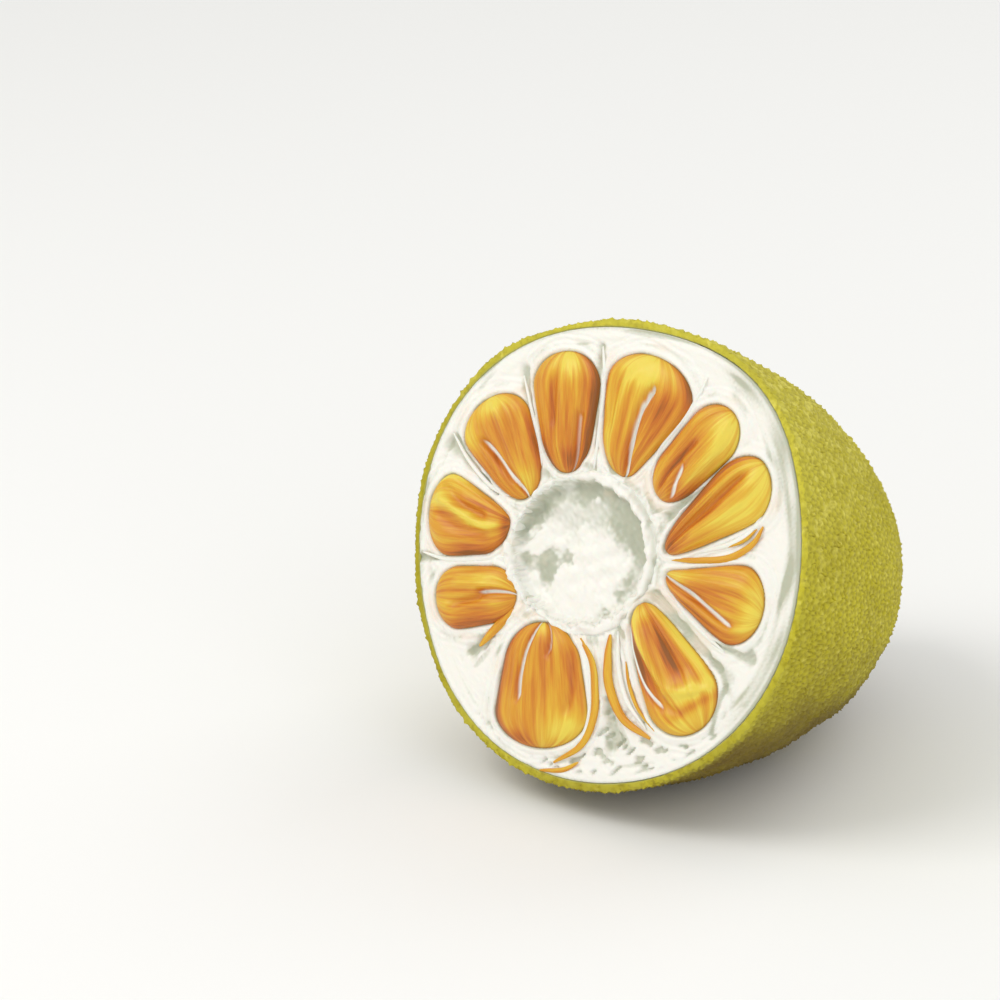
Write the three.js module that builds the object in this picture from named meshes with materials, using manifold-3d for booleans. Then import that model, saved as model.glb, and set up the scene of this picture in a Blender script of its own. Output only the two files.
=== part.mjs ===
// Half of a jackfruit, cut across its middle: a knobbly rind, the white pith inside it, the fibrous
// core and ten plump arils in their pockets round the core. It lies on its side with the cut face
// leaning back.
//
// Millimetres. The fruit is first drawn with its cut face upright: x to the right, z up and y into the
// fruit, from the cut at y = 0 to the blossom end. The group is then rolled about its length, leaned
// back and set down on the plane z = 0.
// A bearing is an angle in the cut face, counted from the right-hand side towards the top.

import * as THREE from "three";
import { ConvexGeometry } from "three/addons/geometries/ConvexGeometry.js";
import { mergeVertices } from "three/addons/utils/BufferGeometryUtils.js";
import Module from "manifold-3d";

const wasm = await Module();
wasm.setup();

// Driving sizes of the fruit
const BODY_RADIUS = 110; // mean radius of the cut, to the foot of the knobs
const HALF_LENGTH = 208; // from the cut to the blossom end, to the foot of the knobs
const RIND_THICKNESS = 3; // green skin under the knobs
const FIT_GAP = 0.3; // between the rind, the pith, the core and the arils
const SQUARENESS = 0.01; // the cut is a little square rather than round
const SHOULDER = {
  rise: 0.052, // share of the radius that the upper right stands out
  bearing: THREE.MathUtils.degToRad(40),
  spread: THREE.MathUtils.degToRad(24),
};
const RIGHT_FULLNESS = 0.008; // the right side is a little fuller than the left
const CROWN_SLOPE = 0.32; // the top side falls away faster towards the blossom end
const SWELL = { height: 0.008, lobes: 3, turn: 0.9, wave: 0.035, start: 1 }; // slow unevenness

// Knobs of the rind, on an equal-area spiral
const KNOB_SPACING = 10.6;
const KNOB_HEIGHT = 3.4;
const KNOB_VARIETY = 0.18; // share by which a knob's height may differ
const KNOB_VARIETY_STEP = 12.9898; // radians from one knob to the next, so that neighbours differ
const GOLDEN_ANGLE = Math.PI * (3 - Math.sqrt(5));
const HULL_GRID = 100; // steps a millimetre
const BLOCK_SIZE = 4 * HALF_LENGTH; // side of the blocks that cut the fruit, well beyond it
const SPIRAL_STEPS = 400; // slices that measure the skin for the spiral

// How the half lies
const ROLL = THREE.MathUtils.degToRad(13);
const LEAN = THREE.MathUtils.degToRad(18.2);
const FACE_CENTRE = { x: -1.1, y: -83.8, z: 121.1 }; // middle of the cut once it lies

// Faces round and along the smooth bodies
const BODY_AROUND = 40;
const BODY_RINGS = 22;
const ARIL_AROUND = 16;
const ARIL_RINGS = 10;
const CORE_AROUND = 30;
const CORE_FRONT_RINGS = [0.2, 0.4, 0.6, 0.78, 0.9, 0.98]; // shares of the outline, from the middle out
const CORE_SHAFT_RINGS = [0.03, 0.35, 0.7, 0.92]; // shares of the depth
const MERGE_TOLERANCE = 1e-4;

// The core and its socket
const CORE = {
  x: -13.3,
  z: 0.8,
  halfWidth: 38.5,
  halfHeight: 34.7,
  depth: 96, // it runs this far into the fruit
  taper: 0.42, // its width at the inner end, as a share of the width at the cut
  bluntness: 6, // a higher power gives a flatter inner end
  lobes: [
    { height: 0.025, count: 5, turn: 0.6 },
    { height: 0.02, count: 9, turn: 0 },
  ],
  rim: 2.2, // height of the raised rim
  rimPlace: 0.9, // share of the outline where the rim is highest
  rimSpread: 0.12,
  dish: 2.6, // depth of the dished middle
  lump: 1.8, // height of the lumps in the dished middle
  wave: 0.21, // their turns a millimetre, in radians
  waveTurn: [0.4, 1.1],
  socketFront: 9, // the socket's cutter runs out this far in front of the cut
};

// The arils. Root and crown are the ends of each bulb in the cut face, by the core and by the rind. The
// half widths are given near the root and near the crown, to the left and right of someone looking from
// root to crown. Grooves run along the front: where across it (from -1 at the left to 1 at the right),
// how deep, and from where to where.
const ARILS = [
  {
    name: "aril_01",
    root: [-20.1, 37.6],
    crown: [-19.8, 95.6],
    left: [12.5, 19.5],
    right: [13, 19],
    grooves: [[0.4, 2.4, 0, 0.5]],
  },
  {
    name: "aril_02",
    root: [11.2, 35.6],
    crown: [30.9, 91.9],
    left: [15.5, 24],
    right: [9, 23.5],
    grooves: [[0.1, 3.4, 0, 0.85]],
  },
  {
    name: "aril_03",
    root: [30.8, 26.4],
    crown: [72.6, 65.4],
    left: [13, 14.6],
    right: [11, 13.5],
    grooves: [[-0.3, 2.6, 0, 0.65]],
  },
  {
    name: "aril_04",
    root: [35.2, 1.2],
    crown: [89.6, 41.6],
    left: [7.2, 12.4],
    right: [8, 18.8],
    grooves: [[0.4, 2, 0.25, 0.9]],
  },
  {
    name: "aril_05",
    root: [35.3, -9.2],
    crown: [88, -28.7],
    left: [6, 20],
    right: [8.5, 19],
    grooves: [[0.4, 3.2, 0, 0.8]],
  },
  {
    name: "aril_06",
    root: [21.7, -22.3],
    crown: [53.7, -81.5],
    left: [9.5, 20],
    right: [14, 21],
    grooves: [[-0.05, 3.2, 0.1, 1]],
  },
  {
    name: "aril_07",
    root: [-33.3, -31.8],
    crown: [-35, -91.8],
    left: [20.5, 27],
    right: [20, 26.5],
    grooves: [[-0.35, 2.8, 0, 0.5], [0.4, 3.2, 0, 0.75]],
  },
  {
    name: "aril_08",
    root: [-48.2, -20.2],
    crown: [-95.5, -19.8],
    left: [13, 16.5],
    right: [12.5, 14],
    grooves: [[-0.1, 3.2, 0, 0.7]],
  },
  {
    name: "aril_09",
    root: [-52, 14.3],
    crown: [-99.5, 20.6],
    left: [16, 20.5],
    right: [8, 19.5],
    grooves: [[-0.3, 2.4, 0, 0.85]],
  },
  {
    name: "aril_10",
    root: [-42.2, 26],
    crown: [-65.2, 73.8],
    left: [11.5, 21.5],
    right: [12, 18],
    grooves: [[-0.1, 3.2, 0, 0.75]],
  },
];
const ARIL_FRONT = 7; // from the widest outline to the top of the bulge
const ARIL_BACK = 24; // from the widest outline to the bottom of the pocket
const ARIL_SINK = 1.5; // the widest outline lies this far behind the cut
const ARIL_FULLNESS = 0.82; // below 1 the cross-section is fuller than an ellipse
const GROOVE_SPREAD = 0.2; // across the aril
const GROOVE_FADE = 0.08; // along the aril
const END_ROUND = 0.3; // share of the length over which each end rounds off
const WIDENING = [0.05, 0.8]; // shares of the length between which an aril widens

// Colours and surfaces
const RIND_SKIN = new THREE.MeshStandardMaterial({ color: 0xa5a032, roughness: 0.75, metalness: 0 });
const PITH_FLESH = new THREE.MeshStandardMaterial({ color: 0xf0eee2, roughness: 0.6, metalness: 0 });
const CORE_FIBRE = new THREE.MeshStandardMaterial({ color: 0xe2e3d6, roughness: 0.65, metalness: 0 });
const ARIL_FLESH = new THREE.MeshStandardMaterial({ color: 0xe59a26, roughness: 0.4, metalness: 0 });

// Radius of the fruit's outline at a bearing and a depth behind the cut, to the foot of the knobs.
function radiusAt(bearing, depth) {
  const along = Math.abs(depth) / HALF_LENGTH;
  const fromShoulder = (bearing - SHOULDER.bearing) / SHOULDER.spread;
  const shoulder = SHOULDER.rise * Math.exp(-(fromShoulder ** 2)) * (1 - along);
  const square = SQUARENESS * Math.cos(4 * (bearing - Math.PI / 4));
  const swellAround = Math.sin(SWELL.lobes * bearing + SWELL.turn);
  const swell = SWELL.height * swellAround * Math.sin(SWELL.wave * depth + SWELL.start);
  const slope = CROWN_SLOPE * ((1 + Math.sin(bearing)) / 2) ** 2 * along;
  const barrel = Math.sqrt(Math.max(0, 1 - along ** 2));
  const rightSide = RIGHT_FULLNESS * Math.cos(bearing);
  return BODY_RADIUS * barrel * (1 + shoulder + square + swell - slope + rightSide);
}

// A point at a height over the foot of the knobs, found by moving off the skin along the plain
// spheroid's normal.
function skinPoint(bearing, depth, height) {
  const radius = radiusAt(bearing, depth);
  const outward = new THREE.Vector3(
    (Math.cos(bearing) * radius) / BODY_RADIUS ** 2,
    depth / HALF_LENGTH ** 2,
    (Math.sin(bearing) * radius) / BODY_RADIUS ** 2,
  ).normalize();
  const foot = new THREE.Vector3(Math.cos(bearing) * radius, depth, Math.sin(bearing) * radius);
  return foot.addScaledVector(outward, height);
}

// Closed geometry from points and triangles.
function geometryOf(points, triangles) {
  const geometry = new THREE.BufferGeometry().setFromPoints(points);
  geometry.setIndex(triangles.flat());
  return geometry;
}

// Closed body made of rings of equal length between a first and a last pole. The rings turn
// anticlockwise seen from the last pole.
function ringBody(firstPole, rings, lastPole) {
  const count = rings[0].length;
  const last = 1 + rings.length * count;
  const triangles = [];
  for (let i = 0; i < count; i += 1) {
    const next = (i + 1) % count;
    triangles.push([0, 1 + next, 1 + i]);
    for (let r = 0; r + 1 < rings.length; r += 1) {
      const near = 1 + r * count;
      const far = near + count;
      triangles.push([near + i, near + next, far + next], [near + i, far + next, far + i]);
    }
    triangles.push([last - count + i, last - count + next, last]);
  }
  return geometryOf([firstPole, ...rings.flat(), lastPole], triangles);
}

// A three.js geometry as a solid for joining and cutting.
function solidOf(geometry) {
  const bare = geometry.clone();
  for (const name of Object.keys(bare.attributes)) {
    if (name !== "position") bare.deleteAttribute(name);
  }
  const merged = mergeVertices(bare, MERGE_TOLERANCE);
  const mesh = new wasm.Mesh({
    numProp: 3,
    vertProperties: new Float32Array(merged.attributes.position.array),
    triVerts: new Uint32Array(merged.index.array),
  });
  return new wasm.Manifold(mesh);
}

// A solid as a named mesh.
function meshOf(name, solid, material) {
  const { numProp, numVert, vertProperties, triVerts } = solid.getMesh();
  const positions = new Float32Array(numVert * 3);
  for (let i = 0; i < numVert; i += 1) {
    positions.set(vertProperties.subarray(i * numProp, i * numProp + 3), i * 3);
  }
  const geometry = new THREE.BufferGeometry();
  geometry.setAttribute("position", new THREE.BufferAttribute(positions, 3));
  geometry.setIndex(new THREE.BufferAttribute(new Uint32Array(triVerts), 1));
  geometry.computeVertexNormals();
  const mesh = new THREE.Mesh(geometry, material);
  mesh.name = name;
  return mesh;
}

// The whole fruit as a smooth closed body, its surface at a height over the foot of the knobs.
function smoothFruit(height) {
  const rings = [];
  for (let r = 1; r < BODY_RINGS; r += 1) {
    const depth = -HALF_LENGTH * Math.cos((Math.PI * r) / BODY_RINGS);
    const ring = [];
    for (let i = 0; i < BODY_AROUND; i += 1) {
      const bearing = Math.PI - (2 * Math.PI * i) / BODY_AROUND;
      ring.push(skinPoint(bearing, depth, height));
    }
    rings.push(ring);
  }
  return ringBody(skinPoint(0, -HALF_LENGTH, height), rings, skinPoint(0, HALF_LENGTH, height));
}

// Everything behind the cut, as a block to keep.
function behindTheCut() {
  const block = new THREE.BoxGeometry(BLOCK_SIZE, BLOCK_SIZE, BLOCK_SIZE);
  block.translate(0, BLOCK_SIZE / 2, 0);
  return solidOf(block);
}

// Everything below the ground, in the frame where the cut is upright.
function belowTheGround() {
  const block = new THREE.BoxGeometry(BLOCK_SIZE, BLOCK_SIZE, BLOCK_SIZE);
  block.translate(0, 0, -BLOCK_SIZE / 2 - FACE_CENTRE.z);
  block.rotateX(LEAN);
  block.rotateY(ROLL);
  return solidOf(block);
}

// Places for the knobs: a golden-angle spiral whose steps along the fruit each cover the same area.
function knobPlaces() {
  const areas = [0];
  for (let i = 0; i < SPIRAL_STEPS; i += 1) {
    const along = -1 + (2 * i + 1) / SPIRAL_STEPS;
    const stretch = Math.hypot(Math.sqrt(1 - along ** 2), (BODY_RADIUS / HALF_LENGTH) * along);
    areas.push(areas[i] + (2 * Math.PI * BODY_RADIUS * HALF_LENGTH * 2 * stretch) / SPIRAL_STEPS);
  }
  const total = areas[SPIRAL_STEPS];
  const count = Math.round(total / (Math.sin(Math.PI / 3) * KNOB_SPACING ** 2));
  const places = [];
  let step = 0;
  for (let k = 0; k < count; k += 1) {
    const area = (total * (k + 0.5)) / count;
    while (areas[step + 1] < area) step += 1;
    const within = (area - areas[step]) / (areas[step + 1] - areas[step]);
    const along = -1 + (2 * (step + within)) / SPIRAL_STEPS;
    const turn = (k * GOLDEN_ANGLE) % (2 * Math.PI);
    places.push({ bearing: turn > Math.PI ? turn - 2 * Math.PI : turn, depth: along * HALF_LENGTH });
  }
  return places;
}

// Triangles between neighbouring places, from the hull of the places on the plain spheroid. The places
// are rounded to a fine grid, on which each corner of the hull finds its place again.
function neighbourTriangles(places) {
  const points = places.map(({ bearing, depth }) => {
    const radius = BODY_RADIUS * Math.sqrt(1 - (depth / HALF_LENGTH) ** 2);
    const point = new THREE.Vector3(Math.cos(bearing) * radius, depth, Math.sin(bearing) * radius);
    return point.multiplyScalar(HULL_GRID).round().divideScalar(HULL_GRID);
  });
  const keyOf = (...values) => values.map((value) => Math.round(value * HULL_GRID)).join();
  const indexOf = new Map(points.map((p, i) => [keyOf(p.x, p.y, p.z), i]));
  const corners = new ConvexGeometry(points).attributes.position;
  const triangles = [];
  for (let i = 0; i < corners.count; i += 3) {
    const cornerAt = (j) => indexOf.get(keyOf(corners.getX(j), corners.getY(j), corners.getZ(j)));
    triangles.push([cornerAt(i), cornerAt(i + 1), cornerAt(i + 2)]);
  }
  return triangles;
}

// The fruit's skin as knobs side by side. Every place is the tip of a pyramid. Its foot joins the
// middles of the triangles around it, so that neighbouring pyramids share their valleys.
function knobbedFruit() {
  const places = knobPlaces();
  const triangles = neighbourTriangles(places);
  const tips = places.map(({ bearing, depth }, i) => {
    const variety = 1 + KNOB_VARIETY * Math.sin(i * KNOB_VARIETY_STEP);
    return skinPoint(bearing, depth, KNOB_HEIGHT * variety);
  });
  const feet = places.map(({ bearing, depth }) => skinPoint(bearing, depth, 0));
  const valleys = triangles.map((corners) => {
    const middle = new THREE.Vector3();
    for (const c of corners) middle.addScaledVector(feet[c], 1 / corners.length);
    const depth = THREE.MathUtils.clamp(middle.y, -HALF_LENGTH, HALF_LENGTH);
    return skinPoint(Math.atan2(middle.z, middle.x), depth, 0);
  });
  const sides = new Map();
  triangles.forEach((corners, t) => {
    corners.forEach((from, j) => sides.set(`${from},${corners[(j + 1) % 3]}`, t));
  });
  const faces = [];
  triangles.forEach((corners, t) => {
    corners.forEach((from, j) => {
      const to = corners[(j + 1) % 3];
      faces.push([from, tips.length + sides.get(`${to},${from}`), tips.length + t]);
    });
  });
  return geometryOf([...tips, ...valleys], faces);
}

// How far an aril's outline has opened at a share of its length: both ends round off, and it is full in
// between.
function roundedEnds(share) {
  const fromEnd = Math.min(share, 1 - share) / END_ROUND;
  return fromEnd >= 1 ? 1 : Math.sqrt(1 - (1 - fromEnd) ** 2);
}

// A sine or cosine raised in size, which makes the ellipse drawn with it fuller.
function fuller(value) {
  return Math.sign(value) * Math.abs(value) ** ARIL_FULLNESS;
}

// How deep the grooves of an aril cut into its front, at a place across it and a share of its length.
function grooveDepth(grooves, across, share) {
  return grooves.reduce((depth, [where, deep, from, to]) => {
    const inside = THREE.MathUtils.smoothstep(share, from - GROOVE_FADE, from + GROOVE_FADE);
    const outside = THREE.MathUtils.smoothstep(share, to - GROOVE_FADE, to + GROOVE_FADE);
    const spread = Math.exp(-(((across - where) / GROOVE_SPREAD) ** 2));
    return depth + deep * spread * inside * (1 - outside);
  }, 0);
}

// One aril, lofted from root to crown. Each ring has a left and a right half width, a front bulge and a
// deeper back. Swollen by the gap of its pocket, the same form cuts the pocket.
function arilBody({ root, crown, left, right, grooves }, swollen) {
  const from = new THREE.Vector3(root[0], ARIL_SINK, root[1]);
  const to = new THREE.Vector3(crown[0], ARIL_SINK, crown[1]);
  const along = to.clone().sub(from).normalize();
  const inward = new THREE.Vector3(0, 1, 0);
  const toTheRight = new THREE.Vector3().crossVectors(inward, along);
  from.addScaledVector(along, -swollen);
  to.addScaledVector(along, swollen);
  const rings = [];
  for (let r = 1; r < ARIL_RINGS; r += 1) {
    const share = (1 - Math.cos((Math.PI * r) / ARIL_RINGS)) / 2;
    const widening = THREE.MathUtils.smoothstep(share, ...WIDENING);
    const open = roundedEnds(share);
    const ring = [];
    for (let i = 0; i < ARIL_AROUND; i += 1) {
      const angle = (2 * Math.PI * i) / ARIL_AROUND;
      const across = fuller(Math.cos(angle));
      const inwards = fuller(Math.sin(angle));
      const widths = across < 0 ? left : right;
      const halfWidth = THREE.MathUtils.lerp(widths[0], widths[1], widening) + swollen;
      const front = ARIL_FRONT + swollen - grooveDepth(swollen > 0 ? [] : grooves, across, share);
      const height = inwards < 0 ? front : ARIL_BACK + swollen;
      const point = from.clone().lerp(to, share);
      point.addScaledVector(toTheRight, across * halfWidth * open);
      point.addScaledVector(inward, inwards * height * open);
      ring.push(point);
    }
    rings.push(ring);
  }
  return ringBody(from, rings, to);
}

// Outline of the core at a bearing round it: an ellipse with shallow lobes.
function coreOutline(bearing, scale, depth) {
  const waves = CORE.lobes.map(({ height, count, turn }) => height * Math.sin(count * bearing + turn));
  const lobes = waves.reduce((sum, wave) => sum + wave, 1);
  return new THREE.Vector3(
    CORE.x + CORE.halfWidth * scale * lobes * Math.cos(bearing),
    depth,
    CORE.z + CORE.halfHeight * scale * lobes * Math.sin(bearing),
  );
}

// The core: a lumpy dished front with a raised rim, and a tapering shaft into the fruit. The socket is
// the same shaft, swollen by the gap and run out through the cut.
function coreBody(swollen) {
  const widen = 1 + swollen / CORE.halfHeight;
  const ringAt = (scale, depthAt) => {
    const ring = [];
    for (let i = 0; i < CORE_AROUND; i += 1) {
      const bearing = Math.PI - (2 * Math.PI * i) / CORE_AROUND;
      ring.push(coreOutline(bearing, scale, depthAt(bearing)));
    }
    return ring;
  };
  const lumps = (bearing, scale) => {
    const { x, z } = coreOutline(bearing, scale, 0);
    const [turnX, turnZ] = CORE.waveTurn;
    return CORE.lump * Math.sin(CORE.wave * x + turnX) * Math.sin(CORE.wave * z + turnZ);
  };
  const rings = [];
  for (const scale of CORE_FRONT_RINGS) {
    const rim = CORE.rim * Math.exp(-(((scale - CORE.rimPlace) / CORE.rimSpread) ** 2));
    const rise = rim - CORE.dish * Math.cos((Math.PI / 2) * scale);
    const lumpy = (bearing) => -rise - lumps(bearing, scale) * (1 - scale);
    rings.push(ringAt(scale * widen, swollen > 0 ? () => -CORE.socketFront : lumpy));
  }
  for (const share of CORE_SHAFT_RINGS) {
    const taper = THREE.MathUtils.lerp(1, CORE.taper, share);
    const narrowing = taper * Math.sqrt(1 - share ** CORE.bluntness);
    rings.push(ringAt(narrowing * widen, () => share * CORE.depth));
  }
  const frontPole = coreOutline(0, 0, swollen > 0 ? -CORE.socketFront : CORE.dish);
  return ringBody(frontPole, rings, coreOutline(0, 0, CORE.depth + swollen));
}

function rind() {
  const cavity = solidOf(smoothFruit(-RIND_THICKNESS));
  return solidOf(knobbedFruit()).subtract(cavity).intersect(behindTheCut()).subtract(belowTheGround());
}

function pith() {
  let flesh = solidOf(smoothFruit(-RIND_THICKNESS - FIT_GAP)).intersect(behindTheCut());
  flesh = flesh.subtract(solidOf(coreBody(FIT_GAP)));
  for (const aril of ARILS) flesh = flesh.subtract(solidOf(arilBody(aril, FIT_GAP)));
  return flesh;
}

const half = new THREE.Group();
half.add(meshOf("rind", rind(), RIND_SKIN));
half.add(meshOf("pith", pith(), PITH_FLESH));
half.add(meshOf("core", solidOf(coreBody(0)), CORE_FIBRE));
for (const aril of ARILS) half.add(meshOf(aril.name, solidOf(arilBody(aril, 0)), ARIL_FLESH));
half.rotation.set(-LEAN, -ROLL, 0, "XYZ");
half.position.copy(FACE_CENTRE);

export default half;
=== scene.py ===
"""The looks of half a jackfruit, cut across its middle and lying on its side.

A knobbed rind, the white cut pith with its pockets, the fibrous core, ten arils, and the thin strands and
slivers between them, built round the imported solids. Sizes are millimetres of the fruit with its cut face
upright: x to the right, z up and y into the fruit from the cut. to_row() leans that fruit back, sets it
on the ground and gives metres.
"""
import math

import bmesh
import bpy
import numpy as np
from bpy.props import FloatProperty, FloatVectorProperty, IntProperty, PointerProperty
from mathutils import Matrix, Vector


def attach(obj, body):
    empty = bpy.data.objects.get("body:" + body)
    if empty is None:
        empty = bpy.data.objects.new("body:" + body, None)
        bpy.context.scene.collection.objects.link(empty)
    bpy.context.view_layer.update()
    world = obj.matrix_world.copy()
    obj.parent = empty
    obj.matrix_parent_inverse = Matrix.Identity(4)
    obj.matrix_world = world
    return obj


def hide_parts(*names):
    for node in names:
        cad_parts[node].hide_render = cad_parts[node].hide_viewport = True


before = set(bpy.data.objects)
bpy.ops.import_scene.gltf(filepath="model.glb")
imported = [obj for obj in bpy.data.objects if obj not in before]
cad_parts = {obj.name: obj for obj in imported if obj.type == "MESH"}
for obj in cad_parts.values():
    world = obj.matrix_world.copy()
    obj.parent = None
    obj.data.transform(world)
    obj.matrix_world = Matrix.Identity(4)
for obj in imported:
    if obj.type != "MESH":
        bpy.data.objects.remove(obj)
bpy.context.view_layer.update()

bl_info = {
    "name": "Cut Half Jackfruit",
    "version": (1, 0, 0),
    "blender": (4, 5, 0),
    "location": "3D View > Sidebar > Jackfruit",
    "description": "Builds the visual model of a jackfruit cut across its middle",
    "category": "Add Mesh",
}

# The fruit's form
BODY_RADIUS = 110.0
HALF_LENGTH = 208.0
RIND_THICKNESS = 2.2  # the solids have 3 mm, with larger knobs
SKIN_RISE = 0.6  # how far the valleys between the knobs stand over the body's radius
SQUARENESS = 0.01
SHOULDER_RISE = 0.052
SHOULDER_BEARING = math.radians(40)
SHOULDER_SPREAD = math.radians(24)
RIGHT_FULLNESS = 0.008
CROWN_SLOPE = 0.32
SWELL_HEIGHT = 0.008
SWELL_LOBES = 3
SWELL_TURN = 0.9
SWELL_WAVE = 0.035
GOLDEN_ANGLE = math.pi * (3 - math.sqrt(5))

# How it lies
ROLL = math.radians(13)
LEAN = math.radians(18.2)
FACE_CENTRE = np.array([-1.1, -83.8, 121.1])

# Where the rind is cut: steps over its edge as (share of the way in, depth), and the rounding on the
# skin's side
RIM_STEPS = ((0.2, 0.0), (0.55, -0.35), (0.85, -0.15), (1.0, 0.4))
RIM_ROUNDING = 0.5
RIM_SPREAD = 5.5  # how far back from the cut the skin takes the band's colour
RIND_SMOOTH_ANGLE = math.radians(62)

# The pith
PITH_GAP = 0.3  # between the pith and the rind's inner wall
PITH_EDGE_GAP = 0.25
POCKET_WALL = (-2.8, -0.2)  # distances from a pocket's edge over which its wall comes up
POCKET_DEPTH = 9.0
LIP_HEIGHT = 0.9
LAYER_HEIGHT = 0.3
LAYERS_BEGIN = (2, 3.5)
LAYERS_END = (8, 11)
CORE_LIP_HEIGHT = 0.7
DAB_DEPTH = 1.5
DABS_BEGIN = (60, 88)  # how far below the fruit's middle
BY_RIND = (9, 20)  # from the rind: fibres run along it, and further in they run out from the core
DISH_DEPTH = 0.9  # how far the pith has sunk between rind, arils and core

# The core
CORE_CENTRE = np.array([-13.3, 0.8])
CORE_HALF = np.array([38.5, 34.7])
CORE_DEPTH = 96.0
CORE_TAPER = 0.42
CORE_RIM_REACH = 1.16  # the front's widest, as a share of the core's ellipse
CORE_ROOT_REACH = 1.18  # the rim draws in from here to each aril's root
CORE_BOWL_DEPTH = 5.2
CORE_WALL = (0.88, 1.01)  # where the bowl's wall comes up, as shares of the core's ellipse
CORE_GREYS = (0.1, 0.98)  # sums of spots over which white turns to the grey of painted shade
CORE_EDGE_TUCK = 4.5  # how far the rim's outer edge dips into the pith
SOCKET_REACH = 0.985
SOCKET_DEPTHS = (0.97, 0.7, 0.4, 0.15, 0.06)
SHAFT_DEPTHS = (0.12, 0.35, 0.7, 0.95)
SHAFT_FIT = 0.97

# The arils' common form
ARIL_FRONT = 7.0
ARIL_BACK = 24.0
ARIL_SINK = 1.5
ARIL_FULLNESS = 0.82
END_ROUND = 0.3
ARIL_TONE = 0.48  # of plain flesh, where 0 is brown and 1 is yellow
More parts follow.
